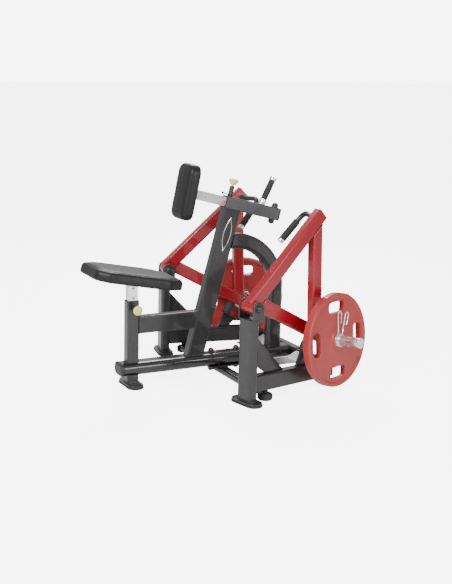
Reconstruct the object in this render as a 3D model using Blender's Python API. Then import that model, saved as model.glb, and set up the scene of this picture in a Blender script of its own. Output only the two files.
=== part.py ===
"""Plate-loaded seated row machine with two independent levers.

Metres, +Z up. The sitter faces +X, the right-hand side is -Y. The origin is on the floor at the
middle of the machine's outline. One object is one physical piece, or pieces welded together.
"""

import math

import bmesh
import bpy
import numpy as np
from mathutils import Matrix, Vector

# ---------------------------------------------------------------- driving dimensions
GAP = 0.0003  # clearance between pieces that touch
LEFT, RIGHT = 1, -1

SEAT_POST_X = -0.4187  # axis of the seat post
BASE_BOTTOM = 0.058
BASE_TOP = 0.120
BASE_MID = (BASE_BOTTOM + BASE_TOP) / 2
BASE_TUBE_WIDTH = 0.100
BASE_FRONT = -0.078  # ends, measured from the seat post
REAR_CROSS_X, RAIL_END_X = 0.880, 0.900
CROSS_TUBE_WIDTH = 0.050
BASE_BOLT_X = (0.428, 0.568)  # from the seat post
BOLT_SHANK, BOLT_HOLE = 0.0050, 0.0058
FLANGE_THICK = 0.008
FOOT_PLATE_TOP, FOOT_RUBBER_TOP = 0.020, 0.012
REAR_FOOT_Y = 0.200

POST_DEPTH, POST_WIDTH = 0.060, 0.050
SEAT_POST_TOP = 0.422
STEM_DEPTH, STEM_WIDTH = 0.048, 0.040
STEM_BOTTOM = 0.190
SEAT_PIN_Z = 0.388
SEAT_HOLE_PITCH = 0.048
SEAT_TILT = math.radians(11.0)
SEAT_TOP_Z = 0.570  # at the seat post's axis
SEAT_LENGTH, SEAT_WIDTH, SEAT_PAD = 0.466, 0.306, 0.046
BOARD_THICK = 0.012

RAIL_BOTTOM, RAIL_TOP = 0.259, 0.343
MAST_LEAN = math.radians(14.65)
MAST_X, MAST_FOOT_Z = 0.3320, 0.120
MAST_DEPTH, MAST_WIDTH = 0.088, 0.050

SLEEVE_FRONT = (0.4820, 0.8725)  # middle of the sleeve's open end: x from the seat post, z
SLEEVE_LENGTH = 0.302
SLEEVE_OUTER, SLEEVE_INNER = 0.060, 0.0515
STOP_BOLT_INSET = 0.018
CHEST_TUBE = 0.046
CHEST_TUBE_OUT, CHEST_TUBE_IN = 0.179, 0.138
CHEST_HOLE_PITCH = 0.025
CHEST_PAD_LEAN = math.radians(11.0)
CHEST_PAD_HEIGHT, CHEST_PAD_WIDTH, CHEST_PAD_THICK = 0.270, 0.154, 0.048

ARCH_CENTRE = (0.535, 0.434)  # of the bend: x from the seat post, z
ARCH_RADIUS, ARCH_DEPTH, ARCH_WIDTH = 0.2425, 0.077, 0.060

PIVOT_X, PIVOT_Y, PIVOT_Z = 0.3928, 0.464, 0.458
TOE_IN = math.radians(11.48)  # the side frames and levers close towards the rear
SIDE_POST_U = -0.011
SIDE_POST_DEPTH, SIDE_POST_WIDTH = 0.048, 0.098
SIDE_POST_TOP = 0.4047
SIDE_RAIL_WIDTH = 0.050
SIDE_RAIL_LOW, SIDE_RAIL_TOP = 0.051, 0.131
CHEEK_INNER, CHEEK_THICK = 0.0445, 0.008
BARREL_RADIUS, BARREL_BORE, BOLT_RADIUS = 0.0300, 0.0163, 0.0100

ARM_ANGLE, ARM_OFFSET, ARM_DEPTH = math.radians(43.5), 0.007, 0.065
ARM_LENGTH = 0.572
LINK_ANGLE, LINK_OFFSET, LINK_DEPTH = math.radians(-28.0), 0.029, 0.064
LINK_LENGTH = 0.545
UPRIGHT_U, UPRIGHT_LEAN, UPRIGHT_DEPTH = 0.391, math.radians(2.2), 0.057
LEVER_WIDTH = 0.048
STOP_ALONG, BUMPER_HEIGHT = 0.410, 0.065
TREAD_X = (0.690, 0.801)  # front end and bend of a foot tread, from the seat post
TREAD_Y, TREAD_Z = (0.120, 0.225), 0.089
GRIP_BEND = (0.448, 0.381, -0.151)  # lever coordinates u, v, w of the handle's corner and tip
GRIP_TIP = (0.338, 0.239, -0.199)
HANDLE_RADIUS, GRIP_RADIUS = 0.0130, 0.0175

HORN_U, HORN_V, HORN_W = 0.444, -0.197, 0.100
HORN_YAW, HORN_RISE = math.radians(20.35), math.radians(4.65)
HORN_RADIUS = 0.0250
HORN_TIP, HORN_FLANGE = 0.150, -0.0265
PLATE_RADIUS, PLATE_BACK, PLATE_FACE = 0.2250, -0.0240, 0.0200
SLOT_RADIUS, SLOT_SIZE = 0.157, (0.115, 0.055)

CENTRE_GRIP_ALONG, CENTRE_GRIP_TOP, CENTRE_GRIP_LEAN = 0.205, 0.146, math.radians(12.0)
CHEST_PIN_ALONG = 0.0225
CLAMP_ALONG, CLAMP_Y = 0.012, -0.019
SEAT_PIN_NECK, CHEST_PIN_NECK = 0.027, 0.052  # height of the pull pins' housings

ROUND = 16  # sides of a round piece
CORNER_STEPS = 2

FRAME_PAINT = ("frame_charcoal", (0.060, 0.062, 0.064), 0.35, 0.40)
ARM_PAINT = ("arm_grey", (0.130, 0.132, 0.134), 0.35, 0.42)
LEVER_PAINT = ("lever_red", (0.560, 0.018, 0.018), 0.20, 0.28)
PLATE_PAINT = ("plate_red", (0.620, 0.075, 0.060), 0.0, 0.50)
CHROME = ("chrome", (0.780, 0.780, 0.790), 1.0, 0.12)
BLACK_STEEL = ("black_steel", (0.020, 0.020, 0.022), 0.6, 0.35)
BLACK_PLASTIC = ("black_plastic", (0.018, 0.018, 0.019), 0.0, 0.45)
RUBBER = ("rubber", (0.022, 0.022, 0.023), 0.0, 0.70)
VINYL = ("vinyl", (0.030, 0.031, 0.033), 0.0, 0.48)
PLYWOOD = ("plywood", (0.330, 0.220, 0.120), 0.0, 0.65)
KNOB_YELLOW = ("knob_yellow", (0.860, 0.800, 0.300), 0.0, 0.40)
TREAD_GREY = ("tread_aluminium", (0.560, 0.570, 0.580), 0.9, 0.45)


# ---------------------------------------------------------------- scene, materials, bodies
def clear_scene():
    """Removes whatever the file opened with."""
    for obj in list(bpy.data.objects):
        bpy.data.objects.remove(obj, do_unlink=True)


def material(recipe):
    """A Principled material from (name, colour, metallic, roughness), made once."""
    name, colour, metallic, roughness = recipe
    found = bpy.data.materials.get(name)
    if found:
        return found
    made = bpy.data.materials.new(name)
    made.use_nodes = True
    shader = made.node_tree.nodes["Principled BSDF"]
    shader.inputs["Base Color"].default_value = (*colour, 1.0)
    shader.inputs["Metallic"].default_value = metallic
    shader.inputs["Roughness"].default_value = roughness
    made.diffuse_color = (*colour, 1.0)
    return made


def body(name, place=(0, 0, 0)):
    """An empty on a body's joint axis: its pieces are its children."""
    empty = bpy.data.objects.new("body_" + name, None)
    empty.location = place
    bpy.context.scene.collection.objects.link(empty)
    return empty


def place_mesh(name, mesh, recipe, parent):
    """Puts world-space geometry under its body's empty as one named object."""
    mesh.transform(Matrix.Translation(-parent.location))
    mesh.materials.append(material(recipe))
    mesh.shade_smooth()
    mesh.set_sharp_from_angle(angle=math.radians(35))
    obj = bpy.data.objects.new(name, mesh)
    obj.parent = parent
    bpy.context.scene.collection.objects.link(obj)
    return obj


# ---------------------------------------------------------------- geometry from loops of points
def loft(shells):
    """A mesh of closed shells; each shell is (loops, kind).

    kind "caps" closes both ends with a face, and "ring" joins the last loop to the first.
    """
    work = bmesh.new()
    for loops, kind in shells:
        rows = [[work.verts.new(Vector(point)) for point in loop] for loop in loops]
        pairs = list(zip(rows, rows[1:]))
        if kind == "ring":
            pairs.append((rows[-1], rows[0]))
        for low, high in pairs:
            for i in range(len(low)):
                j = (i + 1) % len(low)
                work.faces.new((low[i], low[j], high[j], high[i]))
        if kind == "caps":
            work.faces.new(rows[0][::-1])
            work.faces.new(rows[-1])
    bmesh.ops.recalc_face_normals(work, faces=work.faces)
    mesh = bpy.data.meshes.new("mesh")
    work.to_mesh(mesh)
    work.free()
    return mesh


def rounded(width, height, radius, steps=CORNER_STEPS):
    """A rectangle with arc corners, as points about its centre."""
    points = []
    for k, (sx, sy) in enumerate(((1, 1), (-1, 1), (-1, -1), (1, -1))):
        for i in range(steps + 1):
            turn = math.radians(90 * k + 90 * i / steps)
            points.append(
                (
                    sx * (width / 2 - radius) + radius * math.cos(turn),
                    sy * (height / 2 - radius) + radius * math.sin(turn),
                )
            )
    return points


def circle(radius, sides=ROUND):
    """A round section, as points about its centre."""
    turns = [2 * math.pi * i / sides for i in range(sides)]
    return [(radius * math.cos(t), radius * math.sin(t)) for t in turns]


def axes_along(direction, side):
    """Two unit vectors across a direction, the first as near to side as it can be."""
    direction = Vector(direction).normalized()
    first = Vector(side) - direction * Vector(side).dot(direction)
    first.normalize()
    return first, direction.cross(first)


def prism_loops(start, end, side, section, cuts=(None, None)):
    """The two end loops of a straight bar; a cut is (point, normal) of the plane an end stops at."""
    start, end = Vector(start), Vector(end)
    along = (end - start).normalized()
    first, second = axes_along(along, side)
    loops = []
    for base, cut in zip((start, end), cuts):
        loop = [base + first * a + second * b for a, b in section]
        if cut:
            point, normal = Vector(cut[0]), Vector(cut[1])
            loop = [p + along * ((point - p).dot(normal) / along.dot(normal)) for p in loop]
        loops.append(loop)
    return loops


def bar(start, end, side, section, cuts=(None, None)):
    """One shell of loft: a straight solid bar."""
    return prism_loops(start, end, side, section, cuts), "caps"


def pipe(start, end, side, outer, inner):
    """One shell of loft: a straight hollow bar, open at both ends."""
    out = prism_loops(start, end, side, outer)
    hollow = prism_loops(start, end, side, inner)
    return [out[0], out[1], hollow[1], hollow[0]], "ring"


def turned(origin, direction, profile, kind="caps", sides=ROUND, side=(0, 0, 1)):
    """One shell of loft: a profile of (radius, distance along direction) turned round its axis."""
    direction = Vector(direction).normalized()
    if abs(direction.dot(Vector(side))) > 0.9:
        side = (1, 0, 0)
    first, second = axes_along(direction, side)
    loops = []
    for radius, along in profile:
        centre = Vector(origin) + direction * along
        loops.append([centre + first * a + second * b for a, b in circle(radius, sides)])
    return loops, kind


def slab(outline, origin, across, upward, low, high):
    """One shell of loft: an outline in the plane (across, upward), thick from low to high."""
    across, upward = Vector(across), Vector(upward)
    normal = across.cross(upward).normalized()
    flat = [Vector(origin) + across * a + upward * b for a, b in outline]
    return [[p + normal * low for p in flat], [p + normal * high for p in flat]], "caps"


def stadium(length, width, steps=5):
    """A straight-sided outline with round ends, long along the first axis."""
    radius = width / 2
    points = []
    for k in range(2):
        centre = (length / 2 - radius) * (1 - 2 * k)
        for i in range(steps + 1):
            turn = -math.pi / 2 + math.pi * (k + i / steps)
            points.append((centre + radius * math.cos(turn), radius * math.sin(turn)))
    return points


def fillet_path(points, radius, steps=6):
    """A line through points with each inner corner rounded by an arc that meets it at radius."""
    points = [Vector(p) for p in points]
    path = [points[0]]
    for before, corner, after in zip(points, points[1:], points[2:]):
        arrive, leave = (corner - before).normalized(), (after - corner).normalized()
        half = arrive.angle(leave) / 2
        reach = radius * math.tan(half)
        inward = (leave - arrive).normalized()
        centre = corner + inward * (radius / math.cos(half))
        first = (corner - arrive * reach - centre).normalized()
        for i in range(steps + 1):
            turn = 2 * half * i / steps
            path.append(centre + (first * math.cos(turn) + arrive * math.sin(turn)) * radius)
    path.append(points[-1])
    return path


def swept(path, section, side):
    """One shell of loft: a section carried along a path without twist."""
    path = [Vector(p) for p in path]
    loops = []
    first = Vector(side)
    for i, point in enumerate(path):
        ahead = path[min(i + 1, len(path) - 1)] - path[max(i - 1, 0)]
        first, second = axes_along(ahead, first)
        loops.append([point + first * a + second * b for a, b in section])
    return loops, "caps"


def combine(obj, shells, operation):
    """Adds or subtracts hidden solids with the exact solver."""
    tool = bpy.data.objects.new("tool_" + obj.name, loft(shells))
    tool.hide_render = True
    tool.display_type = "WIRE"
    bpy.context.scene.collection.objects.link(tool)
    step = obj.modifiers.new(operation.title(), "BOOLEAN")
    step.operation = operation
    step.solver = "EXACT"
    step.object = tool


def cut_away(obj, *shells):
    combine(obj, shells, "DIFFERENCE")


def weld_on(obj, *shells):
    for shell in shells:
        combine(obj, [shell], "UNION")


# ---------------------------------------------------------------- places
def from_post(x, y, z):
    """A point given from the seat post's axis."""
    return Vector((SEAT_POST_X + x, y, z))


class Side:
    """The toed-in upright plane of one side: u runs rearward, v up and w outward from the pivot."""

    def __init__(self, hand):
        self.hand = hand
        self.word = "left" if hand == LEFT else "right"
        self.pivot = from_post(PIVOT_X, hand * PIVOT_Y, PIVOT_Z)
        self.rearward = Vector((math.cos(TOE_IN), -hand * math.sin(TOE_IN), 0))
        self.outward = Vector((math.sin(TOE_IN), hand * math.cos(TOE_IN), 0))
        self.up = Vector((0, 0, 1))

    def at(self, u, v, w):
        return self.pivot + self.rearward * u + self.up * v + self.outward * w

    def floor(self, u, z, w=0.0):
        """As at, with the height given from the floor."""
        return self.at(u, z - PIVOT_Z, w)

    def direction(self, angle):
        """A unit vector in the side's plane, at an angle above rearward."""
        return self.rearward * math.cos(angle) + self.up * math.sin(angle)

    def horn(self):
        """The plate horn's reference point and its outward direction."""
        flat = Vector((math.sin(HORN_YAW), self.hand * math.cos(HORN_YAW), 0))
        rise = flat * math.cos(HORN_RISE) + self.up * math.sin(HORN_RISE)
        return self.at(HORN_U, HORN_V, HORN_W), rise


class Sleeve:
    """The sloping line of the chest pad's slide: along runs down to the rear, off squarely up."""

    front = from_post(SLEEVE_FRONT[0], 0, SLEEVE_FRONT[1])
    along = Vector((math.cos(MAST_LEAN), 0, -math.sin(MAST_LEAN)))
    off = Vector((math.sin(MAST_LEAN), 0, math.cos(MAST_LEAN)))

    @classmethod
    def at(cls, along, off=0.0, y=0.0):
        return cls.front + cls.along * along + cls.off * off + Vector((0, y, 0))


SIDES = [Side(RIGHT), Side(LEFT)]
Y_AXIS = Vector((0, 1, 0))


# ---------------------------------------------------------------- centre frame
def mast_line(z):
    """The mast's middle at a height."""
    return from_post(MAST_X + (z - MAST_FOOT_Z) * math.tan(MAST_LEAN), 0, z)


def centre_frame(root):
    """Base tube, seat post, seat rail, leaning mast and the bent rear member."""
    base_rear = SEAT_POST_X + REAR_CROSS_X - CROSS_TUBE_WIDTH / 2 - GAP
    base_start = from_post(BASE_FRONT + 0.012, 0, BASE_MID)
    flat_oval = rounded(BASE_TUBE_WIDTH, BASE_TOP - BASE_BOTTOM, 0.028, 6)
    base = bar(base_start, (base_rear, 0, BASE_MID), Y_AXIS, flat_oval)
    base_tube = place_mesh("base_tube", loft([base]), FRAME_PAINT, root)
    bolt_holes = []
    for x in BASE_BOLT_X:
        foot = from_post(x, 0, BASE_BOTTOM - 0.01)
        bolt_holes.append(turned(foot, (0, 0, 1), [(BOLT_HOLE, 0), (BOLT_HOLE, 0.09)], sides=12))
    cut_away(base_tube, *bolt_holes)

    post_section = rounded(POST_WIDTH, POST_DEPTH, 0.006)
    bore = rounded(POST_WIDTH - 0.008, POST_DEPTH - 0.008, 0.003)
    post = pipe(
        from_post(0, 0, BASE_TOP + GAP), from_post(0, 0, SEAT_POST_TOP), Y_AXIS, post_section, bore
    )
    seat_post = place_mesh("seat_post", loft([post]), FRAME_PAINT, root)
    pin_hole = turned(
        from_post(0, -POST_WIDTH / 2 - 0.01, SEAT_PIN_Z), Y_AXIS, [(0.0065, 0), (0.0065, 0.02)]
    )
    cut_away(seat_post, pin_hole)

    lean_normal = Vector((math.cos(MAST_LEAN), 0, -math.sin(MAST_LEAN)))
    mast_front = mast_line(0.3) - lean_normal * (MAST_DEPTH / 2 + GAP)
    rail_mid = (RAIL_BOTTOM + RAIL_TOP) / 2
    rail_start = from_post(POST_DEPTH / 2 + GAP, 0, rail_mid)
    rail = bar(
        rail_start,
        from_post(0.3, 0, rail_mid),
        Y_AXIS,
        rounded(POST_WIDTH, RAIL_TOP - RAIL_BOTTOM, 0.006),
        (None, (mast_front, lean_normal)),
    )
    place_mesh("seat_rail", loft([rail]), FRAME_PAINT, root)

    under_sleeve = Sleeve.at(0, -SLEEVE_OUTER / 2 - GAP)
    mast = bar(
        mast_line(0.2),
        mast_line(0.8),
        Y_AXIS,
        rounded(MAST_WIDTH, MAST_DEPTH, 0.006),
        ((from_post(0, 0, BASE_TOP + GAP), (0, 0, 1)), (under_sleeve, Sleeve.off)),
    )
    place_mesh("mast", loft([mast]), FRAME_PAINT, root)

    arch_x, arch_z = ARCH_CENTRE
    crown = from_post(arch_x, 0, arch_z + ARCH_RADIUS)
    path = [crown - Vector((0.05, 0, 0))]
    for i in range(13):
        turn = math.radians(90 - 90 * i / 12)
        place = (arch_x + ARCH_RADIUS * math.cos(turn), 0, arch_z + ARCH_RADIUS * math.sin(turn))
        path.append(from_post(*place))
    path.append(from_post(arch_x + ARCH_RADIUS, 0, BASE_TOP + GAP))
    loops, _ = swept(path, rounded(ARCH_WIDTH, ARCH_DEPTH, 0.020), Y_AXIS)
    mast_rear = mast_line(0.3) + lean_normal * (MAST_DEPTH / 2 + GAP)
    slide = Vector((1, 0, 0))
    loops[0] = [p + slide * ((mast_rear - p).dot(lean_normal) / slide.dot(lean_normal)) for p in loops[0]]
    place_mesh("rear_arch", loft([(loops, "caps")]), FRAME_PAINT, root)


def capped_bolt(foot, direction, grip, head):
    """A through bolt with a washer and a domed cap at both ends; grip is what it clamps."""
    radius, tall, washer = head
    dome = [(radius * math.cos(t), tall * 0.6 * math.sin(t)) for t in np.radians((0, 35, 65))]
    low = [(radius * 1.27, -GAP), (radius * 1.27, -GAP - washer), (radius, -GAP - washer)]
    low += [(r, -GAP - washer - tall * 0.4 - h) for r, h in dome]
    high = [(r, grip - h) for r, h in low]
    profile = low[::-1] + [(BOLT_SHANK, -GAP), (BOLT_SHANK, grip + GAP)] + high
    return turned(foot, direction, profile, sides=16)


def sleeve_stop_bolt(root):
    """The through bolt that stops the chest slide."""
    under = Sleeve.at(SLEEVE_LENGTH - STOP_BOLT_INSET, -SLEEVE_OUTER / 2)
    bolt = capped_bolt(under, Sleeve.off, SLEEVE_OUTER, (0.016, 0.022, 0.002))
    place_mesh("sleeve_stop_bolt", loft([bolt]), BLACK_PLASTIC, root)


def cross_tubes(root):
    """The front cross tube under the base with its welded flange, and the rear cross tube."""
    middle = sum(BASE_BOLT_X) / 2
    flange_top = BASE_BOTTOM - GAP
    flange_low = flange_top - FLANGE_THICK
    tall, overlap, half = 0.034, 0.002, 0.405
    tube_mid = flange_low - tall / 2 + overlap
    tube = bar(
        from_post(middle - 0.02, -half, tube_mid),
        from_post(middle - 0.02, half, tube_mid),
        (1, 0, 0),
        rounded(CROSS_TUBE_WIDTH, tall, 0.010),
    )
    front = place_mesh("front_cross_tube", loft([tube]), FRAME_PAINT, root)
    plate = rounded(0.190, 0.100, 0.010, 2)
    weld_on(front, slab(plate, from_post(middle, 0, 0), (1, 0, 0), (0, 1, 0), flange_low, flange_top))
    holes = []
    for x in BASE_BOLT_X:
        foot = from_post(x, 0, flange_low - 0.004)
        holes.append(turned(foot, (0, 0, 1), [(BOLT_HOLE, 0), (BOLT_HOLE, 0.016)], sides=12))
    cut_away(front, *holes)

    inner_faces = [(side.at(0, 0, -SIDE_RAIL_WIDTH / 2 - GAP), side.outward) for side in SIDES]
    rear = bar(
        from_post(REAR_CROSS_X, -0.3, BASE_MID),
        from_post(REAR_CROSS_X, 0.3, BASE_MID),
        (1, 0, 0),
        rounded(CROSS_TUBE_WIDTH, BASE_TOP - BASE_BOTTOM, 0.012),
        inner_faces,
    )
    place_mesh("rear_cross_tube", loft([rear]), FRAME_PAINT, root)


def tube_end_caps(root):
    """Plastic plugs that close the base tube's front end and the sleeve's rear end."""
    face = from_post(BASE_FRONT + 0.012, 0, BASE_MID)
    loops = []
    for depth, shrink in ((GAP, 0.0), (0.008, 0.0), (0.0125, 0.003), (0.0155, 0.009), (0.0165, 0.018)):
        width = BASE_TUBE_WIDTH + 0.002 - 2 * shrink
        height = BASE_TOP - BASE_BOTTOM + 0.002 - 2 * shrink
        section = rounded(width, height, max(0.029 - shrink, 0.004), 6)
        loops.append([face + Vector((-depth, a, b)) for a, b in section])
    place_mesh("base_tube_cap", loft([(loops, "caps")]), BLACK_PLASTIC, root)
    loops = []
    for depth, shrink in ((GAP, 0.0), (0.005, 0.0), (0.008, 0.003), (0.0095, 0.008)):
        size = SLEEVE_OUTER - 2 * shrink
        section = rounded(size, size, 0.008 - 0.5 * shrink)
        loops.append([Sleeve.at(SLEEVE_LENGTH + depth, b, a) for a, b in section])
    place_mesh("sleeve_cap", loft([(loops, "caps")]), BLACK_PLASTIC, root)


def chest_sleeve(root):
    """The hollow sloping arm on the mast and the fixed centre grip."""
    outer = rounded(SLEEVE_OUTER, SLEEVE_OUTER, 0.008)
    inner = rounded(SLEEVE_INNER, SLEEVE_INNER, 0.004)
    tube = pipe(Sleeve.at(0), Sleeve.at(SLEEVE_LENGTH), Y_AXIS, outer, inner)
    sleeve = place_mesh("chest_sleeve", loft([tube]), ARM_PAINT, root)
    half = SLEEVE_OUTER / 2
    stop = SLEEVE_LENGTH - STOP_BOLT_INSET
    holes = [
        turned(Sleeve.at(stop, -half - 0.01), Sleeve.off, [(0.0055, 0), (0.0055, 0.08)], sides=12),
        turned(Sleeve.at(CHEST_PIN_ALONG, 0.01), Sleeve.off, [(0.0065, 0), (0.0065, 0.03)], sides=12),
        turned(Sleeve.at(CLAMP_ALONG, 0.01, CLAMP_Y), Sleeve.off, [(0.0042, 0), (0.0042, 0.03)], sides=10),
    ]
    cut_away(sleeve, *holes)

    foot = Sleeve.at(CENTRE_GRIP_ALONG, half + GAP)
    axis = Sleeve.off * math.cos(CENTRE_GRIP_LEAN) + Sleeve.along * math.sin(CENTRE_GRIP_LEAN)
    collar, core, low, high = 0.0175, 0.0110, 0.026, CENTRE_GRIP_TOP - 0.017
    profile = [(collar, 0), (collar, low), (core, low), (core, high), (collar, high)]
    profile += [(collar, CENTRE_GRIP_TOP - 0.002), (collar - 0.0025, CENTRE_GRIP_TOP)]
    loops, _ = turned(foot, axis, profile)
    loops[0] = [p + axis * ((foot - p).dot(Sleeve.off) / axis.dot(Sleeve.off)) for p in loops[0]]
    place_mesh("centre_grip_post", loft([(loops, "caps")]), CHROME, root)
    hose = [(0.0160, low + GAP), (0.0160, high - GAP), (core + GAP, high - GAP), (core + GAP, low + GAP)]
    place_mesh("centre_grip", loft([turned(foot, axis, hose, "ring")]), RUBBER, root)


# ---------------------------------------------------------------- side frames
def side_frame(side, root):
    """One side's post with its foot plate and gusset, its rail with the lever's stop, its bracket."""
    post = bar(
        side.floor(SIDE_POST_U, FOOT_PLATE_TOP - 0.003),
        side.floor(SIDE_POST_U, SIDE_POST_TOP),
        side.outward,
        rounded(SIDE_POST_WIDTH, SIDE_POST_DEPTH, 0.016),
    )
    upright = place_mesh("side_post_" + side.word, loft([post]), FRAME_PAINT, root)
    foot = side.floor(SIDE_POST_U, 0)
    across = side.rearward * -side.hand
    weld_on(upright, foot_plate(foot, side.outward, across), gusset(side))

    rail_start = SIDE_POST_U + SIDE_POST_DEPTH / 2 + GAP
    rail_mid = (SIDE_RAIL_LOW + SIDE_RAIL_TOP) / 2
    rail = bar(
        side.floor(rail_start, rail_mid),
        side.floor(0.5, rail_mid),
        side.outward,
        rounded(SIDE_RAIL_WIDTH, SIDE_RAIL_TOP - SIDE_RAIL_LOW, 0.008),
        (None, (from_post(RAIL_END_X, 0, 0), (1, 0, 0))),
    )
    rail_object = place_mesh("side_rail_" + side.word, loft([rail]), FRAME_PAINT, root)
    weld_on(rail_object, *stop_bracket(side))

    reach, floor_v = 0.033, SIDE_POST_TOP + GAP - PIVOT_Z
    outline = [(-reach, floor_v), (reach, floor_v)]
    outline += [(reach * math.cos(t), reach * math.sin(t)) for t in np.radians(np.arange(0, 181, 22.5))]
    outside = CHEEK_INNER + CHEEK_THICK
    block = slab(outline, side.at(0, 0, 0), side.rearward, side.up, -outside, outside)
    bracket = place_mesh("pivot_bracket_" + side.word, loft([block]), FRAME_PAINT, root)
    room_low = floor_v + CHEEK_THICK
    room = slab(
        [(-0.05, room_low), (0.05, room_low), (0.05, 0.05), (-0.05, 0.05)],
        side.at(0, 0, 0),
        side.rearward,
        side.up,
        -CHEEK_INNER,
        CHEEK_INNER,
    )
    hole = BOLT_RADIUS + 0.0004
    cut_away(bracket, room)
    cut_away(bracket, turned(side.at(0, 0, -0.07), side.outward, [(hole, 0), (hole, 0.14)]))


def gusset(side):
    """The flat triangular web between post and rail, with the welded corner left open."""
    weld_u = SIDE_POST_U + SIDE_POST_DEPTH / 2 - 0.002
    rail_v = SIDE_RAIL_TOP + GAP - PIVOT_Z
    outline = [(weld_u, -0.120), (weld_u, -0.264), (0.094, rail_v), (0.204, rail_v)]
    return slab(outline, side.at(0, 0, 0), side.rearward, side.up, -0.006, 0.006)


def pivot_bolt(side, root):
    """The lever's pivot bolt with its domed head and nut, as one turned solid."""
    outside = CHEEK_INNER + CHEEK_THICK + GAP
    dome = [(0.0165 * math.cos(t), 0.009 * math.sin(t)) for t in np.radians((0, 45))]
    half = [(BOLT_RADIUS, outside), (0.0205, outside), (0.0205, outside + 0.003), (0.0165, outside + 0.003)]
    half += [(r, outside + 0.010 + h) for r, h in dome]
    profile = [(r, -along) for r, along in reversed(half)] + half
    bolt = turned(side.pivot, side.outward, profile)
    place_mesh("pivot_bolt_" + side.word, loft([bolt]), BLACK_STEEL, root)


def foot_plate(centre, along, across):
    """One shell of loft: a steel foot plate with round ends."""
    oval = stadium(0.178, 0.078)
    return slab(oval, centre, along, across, FOOT_RUBBER_TOP + GAP, FOOT_PLATE_TOP)


def rubber_pad(name, centre, along, across, root):
    """The moulded pad under a foot plate, a little wider than it."""
    loops = []
    for z, grow in ((0.0, -0.002), (0.004, 0.003), (FOOT_RUBBER_TOP, 0.001)):
        ring = stadium(0.178 + 2 * grow, 0.078 + 2 * grow)
        loops.append([centre + along * a + across * b + Vector((0, 0, z)) for a, b in ring])
    place_mesh(name, loft([(loops, "caps")]), RUBBER, root)


def feet(root):
    """The seat post's foot, the rubber pads under the plates and the rear levelling feet."""
    front, lateral, forward = from_post(0, 0, 0), Vector((0, 1, 0)), Vector((-1, 0, 0))
    section = rounded(POST_WIDTH, POST_DEPTH, 0.006)
    weld_z = FOOT_PLATE_TOP - 0.003
    stub = bar(from_post(0, 0, weld_z), from_post(0, 0, BASE_BOTTOM - GAP), Y_AXIS, section)
    foot = place_mesh("front_foot", loft([stub]), FRAME_PAINT, root)
    weld_on(foot, foot_plate(front, lateral, forward))
    rubber_pad("front_rubber_pad", front, lateral, forward, root)
    under = BASE_BOTTOM - GAP
    for side in SIDES:
        centre = side.floor(SIDE_POST_U, 0)
        rubber_pad("rubber_pad_" + side.word, centre, side.outward, side.rearward * -side.hand, root)
        profile = [(0.030, 0), (0.034, 0.003), (0.034, 0.016), (0.028, 0.020), (0.012, 0.021), (0.012, under)]
        rear = from_post(REAR_CROSS_X, side.hand * REAR_FOOT_Y, 0)
        place_mesh("rear_foot_" + side.word, loft([turned(rear, (0, 0, 1), profile)]), RUBBER, root)


def link_under(t):
    """A point on the underside of a lever's lower tube, t along it: (u, v)."""
    drop = LINK_OFFSET - LINK_DEPTH / 2
    cos, sin = math.cos(LINK_ANGLE), math.sin(LINK_ANGLE)
    return t * cos - drop * sin, t * sin + drop * cos


def bumper_seat():
    """Where a stop bumper's foot stands on its bracket: (u, v)."""
    touch, height = link_under(STOP_ALONG), BUMPER_HEIGHT + 2 * GAP
    return touch[0] + height * math.sin(LINK_ANGLE), touch[1] - height * math.cos(LINK_ANGLE)


def stop_bracket(side):
    """Two shells of loft: the seat plate square to the resting lever and the web under it."""
    cos, sin = math.cos(LINK_ANGLE), math.sin(LINK_ANGLE)
    seat, thick = bumper_seat(), 0.006
    ends = (-0.0255, 0.0715)  # the seat plate's ends along the lever, from the bumper's axis
    front, rear = [(seat[0] + t * cos, seat[1] + t * sin) for t in ends]
    under = [(u + thick * sin, v - thick * cos) for u, v in (front, rear)]
    flange = slab([front, under[0], under[1], rear], side.at(0, 0, 0), side.rearward, side.up, -0.025, 0.025)
    weld_v = SIDE_RAIL_TOP - 0.004 - PIVOT_Z
    inside = [(u - 0.5 * thick * sin, v + 0.5 * thick * cos) for u, v in under]
    web_top = [(inside[0][0] + 0.016, inside[0][1] - 0.0085), (inside[1][0] - 0.008, inside[1][1] + 0.0043)]
    web = [(0.286, weld_v), (0.341, weld_v), web_top[1], web_top[0]]
    return flange, slab(web, side.at(0, 0, 0), side.rearward, side.up, -0.008, 0.008)


def stop_bumper(side, root):
    """The rubber bumper that the lever's lower tube rests on."""
    touch = link_under(STOP_ALONG)
    off = side.rearward * math.sin(LINK_ANGLE) - side.up * math.cos(LINK_ANGLE)
    profile = [(0.019, GAP), (0.023, 0.005), (0.023, BUMPER_HEIGHT - 0.006), (0.024, BUMPER_HEIGHT)]
    bumper = turned(side.at(touch[0], touch[1], 0), off, profile)
    place_mesh("stop_bumper_" + side.word, loft([bumper]), RUBBER, root)


def foot_tread(side, root):
    """A folded tread plate for one foot, fixed to the rear cross tube's front face."""
    thick, rise = 0.004, math.tan(math.radians(26))
    front, bend = TREAD_X
    tab = REAR_CROSS_X - CROSS_TUBE_WIDTH / 2 - GAP
    crest, tab_low = TREAD_Z + (tab - bend) * rise, 0.072
    top = [(front, TREAD_Z), (bend, TREAD_Z), (tab, crest), (tab, tab_low)]
    under = [(tab - thick, tab_low), (tab - thick, crest - 1.6 * thick), (bend, TREAD_Z - thick)]
    under.append((front, TREAD_Z - thick))
    loops = [[from_post(x, side.hand * y, z) for x, z in top + under] for y in TREAD_Y]
    place_mesh("foot_tread_" + side.word, loft([(loops, "caps")]), TREAD_GREY, root)


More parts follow.
